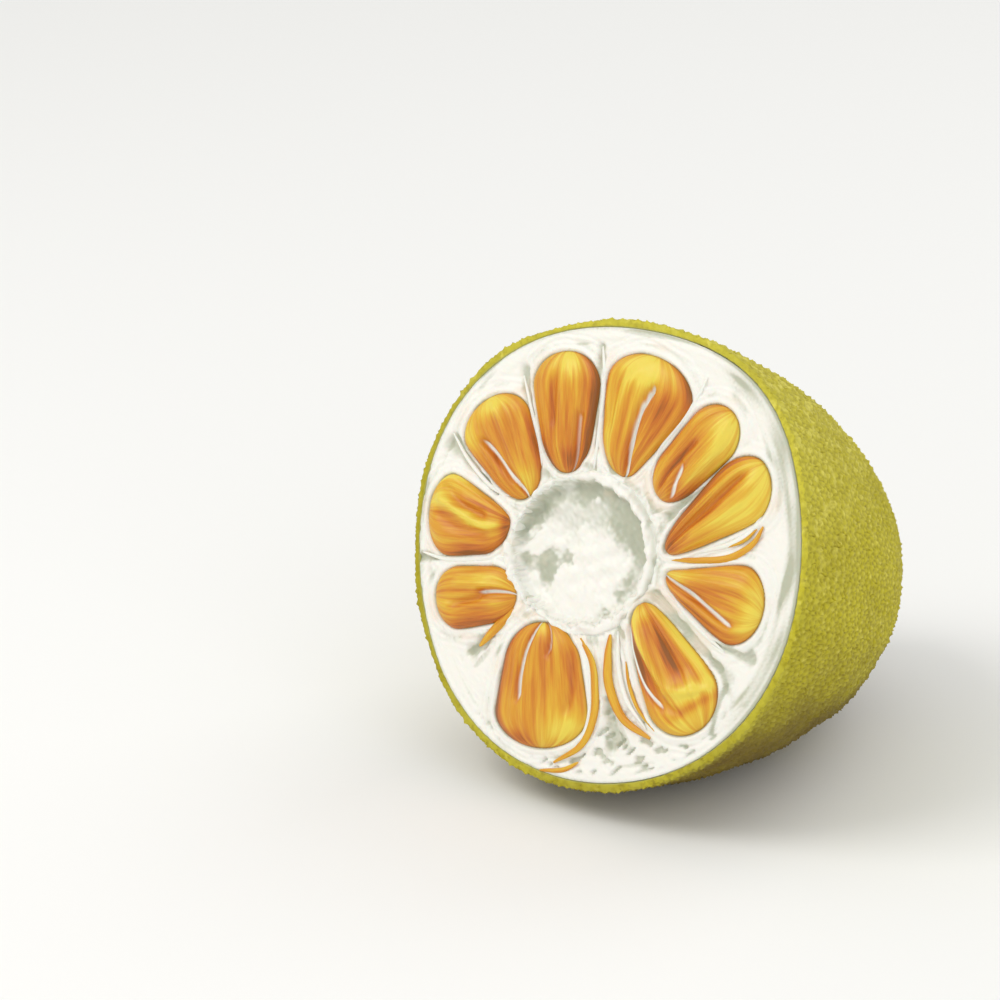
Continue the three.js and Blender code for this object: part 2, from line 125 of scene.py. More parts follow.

# Each aril: its root and crown in the cut, and its half widths near the root and near the crown, left and
# right of someone who looks from root to crown. Creases are (depth, width in mm, whiteness, then points
# as across and share), and one with a depth below 0 is a ridge. Glows are (across, share, spread across,
# spread along, amount): where the flesh is yellower, or browner if the amount is below 0. They are partly
# the flesh's own tones and partly painted light and shade, the browner ones mostly painted shade at the
# edges.
ARILS = {
    "aril_01": {
        "root": (-20.1, 37.6), "crown": (-19.8, 95.6), "left": (12.5, 19.5), "right": (13.0, 19.0),
        "creases": [
            (3.0, 1.6, 0.5, (0.56, 0.5), (0.57, 0.27), (0.66, 0.04)),
            (-1.2, 2.6, 0.0, (0.3, 0.98), (0.12, 0.6), (0.05, 0.2)),
            (1.4, 2.0, 0.0, (-0.25, 0.8), (-0.3, 0.4)),
        ],
        "glows": [
            (0.2, 0.93, 0.45, 0.12, 0.5), (0.1, 0.42, 0.35, 0.3, -0.2), (0.95, 0.55, 0.16, 0.5, -0.7),
            (-0.85, 0.12, 0.3, 0.22, -0.6), (0.35, 0.1, 0.25, 0.12, -0.35), (-0.5, 0.55, 0.25, 0.3, -0.1),
        ],
    },
    "aril_02": {
        "root": (11.2, 35.6), "crown": (30.9, 91.9), "left": (15.5, 24.0), "right": (9.5, 25.8),
        "creases": [
            (4.0, 1.5, 1.0, (0.2, 0.78), (0.06, 0.5), (0.13, 0.25), (0.45, 0.03)),
            (-1.4, 2.4, 0.0, (-0.2, 0.9), (-0.42, 0.5), (-0.45, 0.12)),
            (1.6, 2.0, 0.0, (-0.62, 0.8), (-0.7, 0.35)),
        ],
        "glows": [
            (-0.15, 0.88, 0.75, 0.13, 0.55), (-0.7, 0.35, 0.22, 0.35, 0.35), (0.5, 0.6, 0.25, 0.25, -0.3),
            (0.97, 0.85, 0.14, 0.15, -0.5), (-1.0, 0.6, 0.1, 0.5, -0.55), (-0.3, 0.5, 0.14, 0.3, -0.15),
        ],
    },
    "aril_03": {
        "root": (30.8, 26.4), "crown": (72.6, 65.4), "left": (13.0, 14.6), "right": (11.0, 14.1),
        "creases": [
            (2.4, 1.8, 0.75, (0.0, 0.4), (0.35, 0.22), (0.7, 0.1)),
            (2.2, 1.4, 0.0, (-0.2, 0.62), (-0.2, 0.32), (-0.15, 0.08)),
            (-1.3, 2.2, 0.0, (0.35, 0.95), (0.55, 0.6), (0.6, 0.3)),
        ],
        "glows": [
            (0.3, 0.88, 0.5, 0.14, 0.42), (0.75, 0.7, 0.2, 0.3, 0.25), (-0.35, 0.5, 0.2, 0.3, -0.15),
            (-1.0, 0.5, 0.14, 0.5, -0.5), (-0.6, 0.12, 0.35, 0.14, 0.1), (0.95, 0.2, 0.2, 0.2, -0.4),
        ],
    },
    "aril_04": {
        "root": (35.2, 1.2), "crown": (89.6, 41.6), "left": (7.6, 13.2), "right": (8.0, 18.8),
        "creases": [
            (2.2, 1.6, 0.0, (-0.15, 0.85), (-0.1, 0.53), (-0.22, 0.12)),
            (-1.5, 2.4, 0.0, (0.25, 0.93), (0.4, 0.6), (0.4, 0.25)),
        ],
        "glows": [
            (0.65, 0.72, 0.35, 0.35, 0.38), (0.0, 0.95, 0.8, 0.1, 0.3), (-0.95, 0.4, 0.25, 0.5, -0.75),
            (0.1, 0.45, 0.2, 0.3, -0.1), (0.0, 0.06, 0.8, 0.08, -0.35),
        ],
    },
    "aril_05": {
        "root": (35.3, -9.2), "crown": (88.0, -28.7), "left": (6.0, 20.0), "right": (8.5, 19.0),
        "creases": [
            (3.8, 1.5, 0.9, (0.12, 0.03), (0.19, 0.28), (0.34, 0.49), (0.5, 0.78)),
            (-1.3, 2.4, 0.0, (-0.55, 0.9), (-0.4, 0.5), (-0.3, 0.15)),
        ],
        "glows": [
            (-0.1, 0.93, 0.9, 0.1, 0.36), (-0.4, 0.12, 0.5, 0.14, 0.4), (-0.1, 0.5, 0.3, 0.22, -0.2),
            (0.75, 0.5, 0.2, 0.35, -0.3), (1.0, 0.7, 0.1, 0.4, -0.55), (0.5, 0.9, 0.3, 0.1, 0.15),
        ],
    },
    "aril_06": {
        "root": (21.7, -22.3), "crown": (53.7, -81.5), "left": (9.5, 20.0), "right": (14.0, 21.0),
        "creases": [
            (-2.4, 1.7, 0.0, (0.6, 0.02), (0.5, 0.2), (0.36, 0.42), (0.18, 0.64)),
            (-2.2, 4.0, 0.0, (0.18, 0.64), (-0.3, 0.74), (-0.95, 0.8)),
            (1.8, 4.2, 0.0, (-0.12, 0.12), (-0.3, 0.42), (-0.4, 0.62)),
            (2.4, 2.0, 0.0, (0.82, 0.14), (0.64, 0.42), (0.42, 0.7), (0.2, 0.84)),
            (2.6, 1.2, 0.9, (0.94, 0.1), (0.92, 0.3), (0.82, 0.5), (0.52, 0.74)),
        ],
        "glows": [
            (0.42, 0.3, 0.1, 0.3, 0.3), (-0.4, 0.75, 0.55, 0.05, 0.5), (-0.9, 0.45, 0.18, 0.4, 0.5),
            (-0.22, 0.44, 0.2, 0.17, -0.5), (0.72, 0.4, 0.16, 0.26, -0.5), (0.2, 0.92, 0.6, 0.08, 0.3),
            (0.1, 0.08, 0.6, 0.08, 0.35), (-0.3, 0.84, 0.7, 0.03, -0.3),
        ],
    },
    "aril_07": {
        "root": (-33.3, -31.8), "crown": (-35.0, -91.8), "left": (20.5, 27.0), "right": (20.0, 26.5),
        "creases": [
            (3.4, 1.4, 0.9, (0.12, -0.03), (0.32, 0.2), (0.42, 0.42), (0.41, 0.62)),
            (3.0, 1.2, 0.6, (-0.46, -0.04), (-0.4, 0.1), (-0.28, 0.26)),
            (2.0, 1.6, 0.0, (-0.85, 0.2), (-0.82, 0.45), (-0.62, 0.7)),
        ],
        "glows": [
            (-0.65, 0.84, 0.3, 0.12, 0.45), (-0.1, 0.04, 0.2, 0.07, 0.5), (0.97, 0.5, 0.12, 0.5, -0.75),
            (0.6, 0.93, 0.35, 0.08, -0.45), (0.0, 0.55, 0.3, 0.3, -0.1), (0.1, 0.75, 0.08, 0.2, 0.2),
            (-0.6, 0.12, 0.15, 0.1, 0.2),
        ],
    },
    "aril_08": {
        "root": (-48.2, -20.2), "crown": (-95.5, -19.8), "left": (12.0, 16.5), "right": (14.5, 14.0),
        "creases": [
            (3.4, 1.4, 0.9, (0.2, -0.04), (0.18, 0.12), (0.12, 0.4)),
            (1.8, 1.6, 0.0, (-0.3, 0.75), (-0.1, 0.45), (0.1, 0.35)),
            (-1.4, 2.2, 0.0, (0.5, 0.7), (0.45, 0.3)),
        ],
        "glows": [
            (0.55, 0.3, 0.3, 0.2, 0.25), (0.2, 0.5, 0.3, 0.2, -0.05), (0.3, 0.9, 0.4, 0.12, -0.1),
            (-0.9, 0.5, 0.25, 0.5, -0.45), (-0.3, 0.2, 0.3, 0.1, 0.2),
        ],
    },
    "aril_09": {
        "root": (-52.0, 14.3), "crown": (-99.5, 20.6), "left": (16.0, 20.5), "right": (8.0, 19.5),
        "creases": [
            (-2.4, 1.8, 0.0, (0.4, 0.85), (0.07, 0.49), (-0.17, 0.24), (-0.06, 0.03)),
            (2.4, 2.2, 0.0, (0.66, 0.82), (0.34, 0.52), (0.2, 0.25)),
            (1.8, 2.6, 0.0, (0.0, 0.85), (-0.3, 0.5), (-0.45, 0.2)),
        ],
        "glows": [
            (0.4, 0.82, 0.2, 0.15, 0.4), (0.1, 0.5, 0.12, 0.15, 0.55), (-0.14, 0.26, 0.12, 0.2, 0.5),
            (0.85, 0.75, 0.25, 0.3, 0.35), (-0.95, 0.4, 0.2, 0.4, -0.45), (0.5, 0.4, 0.2, 0.2, -0.1),
            (-0.1, 0.03, 0.8, 0.05, -0.5),
        ],
    },
    "aril_10": {
        "root": (-42.2, 26.0), "crown": (-65.2, 73.8), "left": (11.5, 21.5), "right": (14.5, 19.3),
        "creases": [
            (3.8, 1.5, 0.95, (-0.45, 0.66), (-0.27, 0.47), (-0.08, 0.22), (0.2, 0.03)),
            (1.6, 1.6, 0.0, (-0.5, 0.92), (-0.45, 0.75), (-0.45, 0.6)),
            (-1.3, 2.2, 0.0, (0.3, 0.9), (0.3, 0.5), (0.4, 0.15)),
        ],
        "glows": [
            (0.15, 0.92, 0.6, 0.1, 0.5), (-0.75, 0.75, 0.3, 0.14, 0.35), (0.55, 0.12, 0.3, 0.12, 0.35),
            (-0.65, 0.35, 0.25, 0.3, -0.15), (0.2, 0.55, 0.4, 0.25, -0.25), (0.97, 0.4, 0.12, 0.4, -0.4),
            (-1.0, 0.5, 0.1, 0.4, -0.5),
        ],
    },
}
CREASE_FADE = 0.06  # share of an aril's length over which a crease fades at its ends
CREASE_SPREAD = 1.3  # a crease's bell curve against its width

# Hollows in the pith between the arils, which take a grey-green painted shade: start and end in the cut,
# half widths there and depth
HOLLOWS = [
    ((-86.0, 53.0), (-60.0, 28.5), 4.4, 0.8, 3.0),
    ((-44.5, 86.0), (-36.0, 50.0), 3.2, 0.7, 2.4),
    ((-1.0, 97.0), (-3.4, 50.0), 1.8, 0.9, 1.8),
    ((36.5, 17.5), (56.0, 31.0), 2.8, 0.5, 2.4),
    ((81.0, -48.0), (62.0, -40.5), 3.6, 1.0, 2.2),
    ((30.0, -19.5), (65.0, -53.0), 3.0, 1.6, 1.8),
    ((68.0, -60.0), (60.0, -82.0), 1.2, 1.3, 0.9),
    ((6.0, -88.0), (1.5, -68.0), 4.4, 1.6, 3.0),
    ((-104.0, -1.5), (-90.0, -2.5), 2.4, 0.9, 2.0),
    ((-74.0, -47.0), (-63.0, -38.0), 3.4, 1.6, 2.4),
]

# Thin orange slivers of flesh and white strands that lie in the pith: radius, then points in the cut
SLIVERS = [
    (1.7, (38.0, -2.2), (54.0, -2.6), (70.0, -1.4), (82.5, 4.8), (88.5, 13.0)),
    (0.9, (68.0, 3.4), (78.0, 6.6), (85.0, 11.8)),
    (2.5, (4.8, -37.5), (3.4, -49.0), (4.4, -62.0), (12.0, -76.5), (27.0, -85.5)),
    (1.0, (13.5, -50.0), (15.5, -61.0), (20.5, -72.0), (29.5, -82.0)),
    (2.1, (-12.0, -39.5), (-5.6, -50.0), (-3.8, -62.0), (-4.4, -76.0), (-11.5, -89.5), (-27.0, -98.0)),
    (1.2, (-13.0, -97.6), (-22.0, -101.4), (-35.0, -101.8)),
    (2.3, (-49.5, -26.0), (-55.5, -31.2), (-62.0, -37.0), (-69.5, -44.0)),
]
STRANDS = [
    (1.3, (47.0, 0.2), (58.0, 2.2), (70.0, 4.8), (81.0, 10.2), (88.0, 19.0)),
    (1.4, (9.0, -36.0), (9.4, -53.0), (14.0, -68.0), (24.5, -81.0)),
    (1.1, (-9.6, -40.0), (-7.0, -54.0), (-6.6, -70.0), (-8.8, -81.0), (-16.0, -91.5)),
    (1.2, (33.0, -12.5), (40.5, -21.0), (53.5, -34.0), (67.5, -44.5)),
    (1.0, (-36.4, 33.0), (-34.8, 48.0), (-40.2, 68.0), (-44.5, 84.0)),
    (1.2, (-4.8, 40.0), (-1.8, 58.0), (1.1, 80.0), (0.2, 97.0)),
    (1.1, (27.0, 34.0), (31.7, 48.0), (44.4, 61.6), (53.0, 73.0), (58.0, 82.0)),
    (1.1, (-50.0, 26.0), (-63.0, 31.6), (-76.0, 44.0), (-85.0, 57.0)),
    (1.1, (-53.0, -1.5), (-70.0, -2.8), (-88.0, -3.0), (-103.0, 0.5)),
]

# Grey and white places of the core, as (across, up, spread, amount) in shares of its half size: the grey is
# painted shade, and the white takes it away
CORE_SPOTS = [
    (0.71, 0.26, 0.22, 0.75), (0.52, 0.44, 0.18, 0.6), (0.8, -0.06, 0.16, 0.75), (0.66, -0.38, 0.13, 0.7),
    (0.77, 0.56, 0.14, 0.8), (0.16, 0.88, 0.2, 0.6), (-0.05, 0.78, 0.15, 0.4), (0.44, 0.74, 0.17, 0.4),
    (-0.92, 0.26, 0.15, 0.6), (-0.75, 0.48, 0.15, 0.6), (-0.57, 0.68, 0.15, 0.5), (-0.38, 0.82, 0.13, 0.4),
    (0.16, 0.7, 0.07, -0.5), (0.0, 0.28, 0.1, -0.5), (0.25, 0.07, 0.1, -0.5), (-0.57, 0.22, 0.13, -0.9),
    (-0.76, 0.07, 0.1, -0.9), (-0.57, -0.12, 0.17, 0.9), (-0.26, -0.1, 0.1, 0.6), (-0.86, -0.08, 0.1, 0.6),
    (-0.57, -0.38, 0.13, 0.6), (-0.37, -0.28, 0.07, -0.5), (0.16, -0.27, 0.28, -1.2),
    (-0.13, -0.62, 0.28, -1.1), (0.42, -0.14, 0.12, -0.8), (0.48, -0.58, 0.12, 0.7),
    (0.22, -0.72, 0.08, 0.5), (0.31, -0.88, 0.08, 0.8), (-0.8, -0.4, 0.1, -0.5), (0.0, 0.28, 0.2, 0.22),
    (-0.3, 0.5, 0.3, 0.12), (0.25, 0.5, 0.3, 0.12),
]

# Fineness of the meshes
FACE_AROUND = 640
FACE_RINGS = 124
CORE_AROUND = 240
CORE_RINGS = 62
ARIL_FRONT_STEPS = 72
ARIL_BACK_STEPS = 24
ARIL_RINGS = 104
KNOB_STEPS = 3
CUT_TOLERANCE = 1e-3
INNER_WALL_ANGLES = np.linspace(0.15, 1.5, 6)
PITH_WALL_ANGLES = np.linspace(0.06, 1.5, 9)
RIBBON_STEPS = 64
RIBBON_SIDES = 10
RIBBON_THICKNESS = 0.62  # of its width

# The materials: how many metres light goes into the flesh, and scales of noise to the metre
FLESH_GLOW = 0.004
PATCH_NOISE = 14
SHADE_NOISE = 34
TINT_NOISE = 60
BAND_NOISE = 110
CLOUD_NOISE = 120
BLOTCH_NOISE = 150
FIBRE_NOISE = 260
SPECK_NOISE = 420
PORE_NOISE = 800

# Metres over the ground between which the skin turns lighter with a painted light towards the top, browner
# with a painted shade towards the bottom and darkest with a painted shade at the bottom, and metres to the
# left between which the band along the cut turns olive with a painted shade
PAINTED_LIGHT_HEIGHTS = (0.14, 0.23)
BROWN_SHADE_HEIGHTS = (0.15, 0.06)
DARK_SHADE_HEIGHTS = (0.11, 0.02)
OLIVE_SHADE_PLACES = (-0.07, -0.108)

# Lights as (name, place, power, size, colour), the point they look at, and the rest of the stage
LIGHTS = [
    ("key light", (-0.9, -1.3, 1.9), 20, 1.3, (1.0, 0.98, 0.95)),
    ("fill light", (1.9, -1.2, 1.1), 9, 1.8, (0.96, 0.98, 1.0)),
    ("back light", (0.5, 1.7, 1.7), 10, 1.6, (1.0, 1.0, 1.0)),
]
LIT_POINT = Vector((0, 0, 0.1))
FLOOR_HALF = 3.0
SKY_COLOUR = (1.0, 1.0, 0.98, 1.0)
SKY_STRENGTH = 0.66


def smoothstep(value, low, high):
    """Rises from 0 at low to 1 at high, level at both ends."""
    share = np.clip((value - low) / (high - low), 0.0, 1.0)
    return share * share * (3 - 2 * share)


def hump(value, spread):
    """A bell curve of height 1."""
    return np.exp(-((value / spread) ** 2))


def ripple(points, wavelength, seed, waves=14):
    """Smooth noise of about -1 to 1: a mean of sine waves of like length in seeded random directions."""
    rng = np.random.default_rng(seed)
    direction = rng.normal(size=(waves, points.shape[1]))
    direction /= np.linalg.norm(direction, axis=1, keepdims=True)
    turns = 2 * math.pi / wavelength * rng.uniform(0.65, 1.5, waves)
    phase = rng.uniform(0, 2 * math.pi, waves)
    return np.sin(points @ (direction * turns[:, None]).T + phase).sum(1) / math.sqrt(waves)


def circle(turn):
    """Points of a unit circle in the cut."""
    return np.stack([np.cos(turn), np.sin(turn)], axis=1)


def at_depth(flat, depth):
    """Points of the cut moved into the fruit, all to one depth or each to its own."""
    return np.stack([flat[:, 0], np.broadcast_to(depth, len(flat)), flat[:, 1]], axis=1)


def to_row(points):
    """Fruit millimetres to the row's metres: rolled about its length, leaned back about x, moved, and
    pressed flat where it meets the ground."""
    x, y, z = points.T
    sine, cosine = math.sin(ROLL), math.cos(ROLL)
    x, z = x * cosine - z * sine, x * sine + z * cosine
    sine, cosine = math.sin(LEAN), math.cos(LEAN)
    placed = np.stack([x, y * cosine + z * sine, z * cosine - y * sine], axis=1) + FACE_CENTRE
    placed[:, 2] = np.maximum(placed[:, 2], 0.0)
    return placed / 1000


def radius_at(bearing, depth=0.0):
    """Radius of the skin at the foot of the knobs: an ellipse along the fruit, times one plus a shoulder
    at the upper right, a slight squareness, a slow swell and the top's slope to the blossom end."""
    along = np.abs(depth) / HALF_LENGTH
    turn = (bearing - SHOULDER_BEARING + math.pi) % (2 * math.pi) - math.pi
    shoulder = SHOULDER_RISE * hump(turn, SHOULDER_SPREAD) * (1 - along)
    square = SQUARENESS * np.cos(4 * (bearing - math.pi / 4))
    swell = SWELL_HEIGHT * np.sin(SWELL_LOBES * bearing + SWELL_TURN) * np.sin(SWELL_WAVE * depth + 1)
    slope = CROWN_SLOPE * ((1 + np.sin(bearing)) / 2) ** 2 * along
    barrel = np.sqrt(np.maximum(0, 1 - along**2))
    return BODY_RADIUS * barrel * (1 + shoulder + square + swell - slope + RIGHT_FULLNESS * np.cos(bearing))


def skin_points(bearing, depth, height):
    """Points of the skin moved by a height along the normal of the plain spheroid."""
    radius = radius_at(bearing, depth)
    foot = at_depth(circle(bearing) * radius[:, None], depth)
    outward = foot / [BODY_RADIUS**2, HALF_LENGTH**2, BODY_RADIUS**2]
    outward /= np.linalg.norm(outward, axis=1, keepdims=True)
    return foot + outward * np.reshape(height, (-1, 1))


def on_spheroid(points):
    """Points moved out from the middle of the fruit onto the plain spheroid."""
    return points / np.linalg.norm(points / [BODY_RADIUS, HALF_LENGTH, BODY_RADIUS], axis=1, keepdims=True)


def smooth_path(points, count):
    """A curve through a few points, by Catmull-Rom pieces of equal numbers of steps."""
    given = np.asarray(points, dtype=float)
    ends = np.vstack([2 * given[0] - given[1], given, 2 * given[-1] - given[-2]])
    place = np.linspace(0, len(given) - 1, count)
    piece = np.minimum(place.astype(int), len(given) - 2)
    t = (place - piece)[:, None]
    a, b, c, d = (ends[piece + step] for step in range(4))
    return 0.5 * (2 * b + (c - a) * t + (2 * a - 5 * b + 4 * c - d) * t**2 + (3 * b - a - 3 * c + d) * t**3)


def new_mesh(name, points, *polygon_sets, numbers=None, vectors=None):
    """A mesh from whole arrays: points in metres, arrays of polygons, and named values on the points."""
    mesh = bpy.data.meshes.new(name)
    corners = np.concatenate([polygons.ravel() for polygons in polygon_sets]).astype(np.int32)
    sizes = np.concatenate([np.full(len(polygons), polygons.shape[1]) for polygons in polygon_sets])
    starts = np.concatenate([[0], np.cumsum(sizes)[:-1]]).astype(np.int32)
    mesh.vertices.add(len(points))
    mesh.vertices.foreach_set("co", np.ascontiguousarray(points, dtype=np.float32).ravel())
    mesh.loops.add(len(corners))
    mesh.loops.foreach_set("vertex_index", corners)
    mesh.polygons.add(len(sizes))
    mesh.polygons.foreach_set("loop_start", starts)
    for label, values in (numbers or {}).items():
        layer = mesh.attributes.new(label, "FLOAT", "POINT")
        layer.data.foreach_set("value", np.ascontiguousarray(values, dtype=np.float32))
    for label, values in (vectors or {}).items():
        layer = mesh.attributes.new(label, "FLOAT_VECTOR", "POINT")
        layer.data.foreach_set("vector", np.ascontiguousarray(values, dtype=np.float32).ravel())
    mesh.update(calc_edges=True)
    if mesh.validate():
        raise RuntimeError(f"{name}: the mesh had faults")
    mesh.shade_smooth()
    return mesh


def new_piece(name, mesh, material, slot, *nodes):
    """Puts a mesh into the scene as a piece of the fruit that takes the place of some solids."""
    piece = bpy.data.objects.new(name, mesh)
    bpy.context.scene.collection.objects.link(piece)
    mesh.materials.append(material)
    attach(piece, "root")
    if nodes:
        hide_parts(*nodes)


def strips(first, second):
    """Four-sided faces between two rings of point numbers, or between rows of rings."""
    return np.stack([first, np.roll(first, -1, -1), np.roll(second, -1, -1), second], -1).reshape(-1, 4)


def closed_rings(rings, first_pole, last_pole):
    """Points and faces of a closed body made of rings between two poles."""
    rows, around = rings.shape[:2]
    points = np.vstack([first_pole, rings.reshape(-1, 3), last_pole])
    number = 1 + np.arange(rows * around).reshape(rows, around)
    last = np.full(around, len(points) - 1)
    caps = np.concatenate([
        np.stack([np.zeros(around, int), np.roll(number[0], -1), number[0]], 1),
        np.stack([last, number[-1], np.roll(number[-1], -1)], 1),
    ])
    return points, strips(number[:-1], number[1:]), caps


def aril_frame(aril):
    """Root, unit vector to the crown, unit vector to its right and length, all in the cut."""
    root, crown = np.array(aril["root"]), np.array(aril["crown"])
    along = crown - root
    length = np.linalg.norm(along)
    along = along / length
    return root, along, np.array([along[1], -along[0]]), length


def half_width(aril, across, share):
    """Half width of an aril on the side that across names, at a share of its length."""
    widening = smoothstep(share, 0.05, 0.8)
    near = np.where(across < 0, aril["left"][0], aril["right"][0])
    far = np.where(across < 0, aril["left"][1], aril["right"][1])
    return near + (far - near) * widening


def rounded_ends(share):
    """How far the outline has opened: both ends round off as quarter circles, and it is full in between."""
    from_end = np.clip(np.minimum(share, 1 - share) / END_ROUND, 0, 1)
    return np.sqrt(np.maximum(0, 1 - (1 - from_end) ** 2))


def aril_outline(aril, steps=80):
    """Closed outline of an aril in the cut, up its right side and down its left."""
    root, along, right, length = aril_frame(aril)
    share = (1 - np.cos(np.linspace(0, math.pi, steps))) / 2
    spine = root + share[:, None] * length * along
    opened = rounded_ends(share)[:, None] * right
    up = spine + half_width(aril, 1, share)[:, None] * opened
    down = spine - half_width(aril, -1, share)[:, None] * opened
    return np.vstack([up, down[-2:0:-1]])


def outline_distance(points, outline):
    """Distance of points to a closed outline, negative inside it: the nearest side's distance, with the
    sign from how often a ray to the right crosses the outline."""
    start, end = outline, np.roll(outline, -1, axis=0)
    side = end - start
    from_start = points[:, None] - start
    share = np.clip((from_start * side).sum(-1) / (side**2).sum(-1), 0, 1)
    distance = np.linalg.norm(from_start - share[..., None] * side, axis=-1).min(1)
    x, z = points[:, :1], points[:, 1:]
    spans = (start[:, 1] > z) != (end[:, 1] > z)
    rise = np.where(side[:, 1] == 0, 1, side[:, 1])
    crossing = start[:, 0] + (z - start[:, 1]) * side[:, 0] / rise
    inside = (spans & (x < crossing)).sum(1) % 2 == 1
    return np.where(inside, -distance, distance)


def pocket_distance(points, reach=12.0):
    """Distance to the nearest pocket's edge, negative inside a pocket and at most reach."""
    nearest = np.full(len(points), reach)
    for aril in ARILS.values():
        outline = aril_outline(aril)
        low, high = outline.min(0) - reach, outline.max(0) + reach
        close = ((points > low) & (points < high)).all(1)
        nearest[close] = np.minimum(nearest[close], outline_distance(points[close], outline))
    return nearest


def hollow_amount(points):
    """How deep the hollows between the arils are, and how far inside one a point is, from 0 to 1. Each is
    a soft wedge along a line, wider at its start, whose edge wanders a little with a ripple."""
    depth, inside = np.zeros(len(points)), np.zeros(len(points))
    wander = 1 + 0.2 * ripple(points, 9, 71)
    for start, end, start_width, end_width, deep in HOLLOWS:
        start, end = np.array(start), np.array(end)
        side = end - start
        share = np.clip((points - start) @ side / (side @ side), 0, 1)
        width = (start_width + (end_width - start_width) * share) * wander
        distance = np.linalg.norm(points - start - share[:, None] * side, axis=1)
        within = 1 - smoothstep(distance / np.maximum(width, 0.3), 0.35, 1.35)
        depth = np.maximum(depth, deep * within)
        inside = np.maximum(inside, within)
    return depth, inside


def core_reach(points):
    """Distance of points in the cut from the core's middle, as a share of its ellipse."""
    return np.linalg.norm((points - CORE_CENTRE) / CORE_HALF, axis=1)


def pith_relief(points):
    """Depth of the cut pith behind the flat cut, and how grey, how deep in a pocket and how warm in tint
    it is. The grey is mostly painted shade, in the hollows, in a halo outside the arils' lips, where the
    arils meet the pith, in a band by the rind on the right and along the rind's edge; dabs, fibre streaks
    and a ring by the core add to it. The depth adds steep pocket walls, rounded lips round them, thin layers
    that follow the lips, the hollows, a lip round the core, dabs near the rind, fibres that run out from the
    core and others along the rind."""
    distance = pocket_distance(points)
    hollow, inside = hollow_amount(points)
    hollow *= smoothstep(distance, 0.4, 2.2)
    reach = core_reach(points)
    bearing = np.arctan2(points[:, 1], points[:, 0])
    to_rind = radius_at(bearing) - RIND_THICKNESS - np.linalg.norm(points, axis=1)
    from_core = points - CORE_CENTRE
    far = np.linalg.norm(from_core, axis=1, keepdims=True)
    fibres = ripple(np.hstack([from_core / far * 60, 0.12 * far]), 5.5, 61)
    bands = ripple(np.column_stack([14 * circle(bearing), to_rind]), 5.5, 62)
    near_rind = 1 - smoothstep(to_rind, *BY_RIND)
    grain = fibres * (1 - near_rind) + bands * near_rind
    wander = ripple(points, 24, 3)
    wall = POCKET_DEPTH * (1 - smoothstep(distance, *POCKET_WALL))
    lip = LIP_HEIGHT * hump(distance - 1.5, 1.1)
    layered = smoothstep(distance, *LAYERS_BEGIN) * (1 - smoothstep(distance, *LAYERS_END))
    layers = LAYER_HEIGHT * np.sin(2.1 * distance + 1.6 * wander) * layered
    core_lip = CORE_LIP_HEIGHT * hump(reach - 1.22, 0.06) * (1 + 0.4 * ripple(points, 10, 5))
    low = smoothstep(-points[:, 1], *DABS_BEGIN)
    dab_noise = ripple(points @ [[0.46, 0.75], [0.28, -1.1]], 6.0, 11)
    dabs = smoothstep(dab_noise, 0.4, 0.95) * low
    dabs *= smoothstep(distance, 2.5, 5.5) * smoothstep(to_rind, 2, 5)
    dish = DISH_DEPTH * smoothstep(distance, 3, 9) * smoothstep(to_rind, 3, 12)
    rough = (0.26 * grain + 0.1 * ripple(points, 3.2, 22)) * smoothstep(distance, 0, 2)
    depth = wall - lip - layers - core_lip + hollow + DAB_DEPTH * dabs + rough + dish
    # Painted shade: a grey band by the rind on the right, patches of a halo outside the arils' lips, a
    # broken line where each aril meets the pith and a line along the rind's edge, strongest on the right
    right_side = smoothstep(points[:, 0], 50, 90) * hump(to_rind - 5, 5) * (0.7 + 0.3 * bands)
    halo_shade = 0.4 * hump(distance - 4.4, 1.5) * smoothstep(ripple(points, 30, 63), -0.3, 0.8)
    streaks = 0.5 * smoothstep(grain, 0.5, 1.5) * smoothstep(distance, 1.5, 4)
    contact_shade = (0.35 + 0.5 * smoothstep(ripple(points, 28, 66), -0.6, 0.7)) * hump(distance + 0.1, 0.8)
    rind_edge_shade = (0.5 + 0.5 * smoothstep(points[:, 0], 40, 90)) * hump(to_rind - 0.4, 1.1)
    core_side = 0.6 * hump(reach - 1.2, 0.09) * smoothstep(ripple(points, 12, 64), -0.2, 0.8)
    # The grey: the hollows' painted shade and the painted shade above, with the dabs, the fibre streaks and
    # the ring by the core
    grey = 0.72 * inside + 0.7 * dabs + 0.9 * right_side + halo_shade + streaks
    grey = np.clip(grey + contact_shade + rind_edge_shade + core_side + 0.05 * ripple(points, 2.4, 31), 0, 1)
    # Deep in a pocket the pith takes an olive painted shade
    pocket = 1 - smoothstep(distance, -2.2, -0.6)
    warm = np.clip(hump(distance - 3, 2.6) * smoothstep(ripple(points, 34, 41), 0.1, 0.9), 0, 1)
    return depth, grey, pocket, warm


def knob_tips(spacing, jitter, seed):
    """Places of the knobs on the whole plain spheroid: a golden-angle spiral of equal areas, shaken."""
    along = np.linspace(-1, 1, 2001)
    stretch = np.hypot(np.sqrt(1 - along**2), BODY_RADIUS / HALF_LENGTH * along)
    area = np.concatenate([[0], np.cumsum((stretch[1:] + stretch[:-1]) / 2 * np.diff(along))])
    area *= 2 * math.pi * BODY_RADIUS * HALF_LENGTH
    count = round(area[-1] / (math.sin(math.pi / 3) * spacing**2))
    order = np.arange(count)
    place = np.interp((order + 0.5) / count * area[-1], area, along)
    ring = BODY_RADIUS * np.sqrt(1 - place**2)
    turn = order * GOLDEN_ANGLE
    points = at_depth(circle(turn) * ring[:, None], HALF_LENGTH * place)
    shake = np.random.default_rng(seed).uniform(-jitter, jitter, points.shape)
    return on_spheroid(points + shake * spacing)


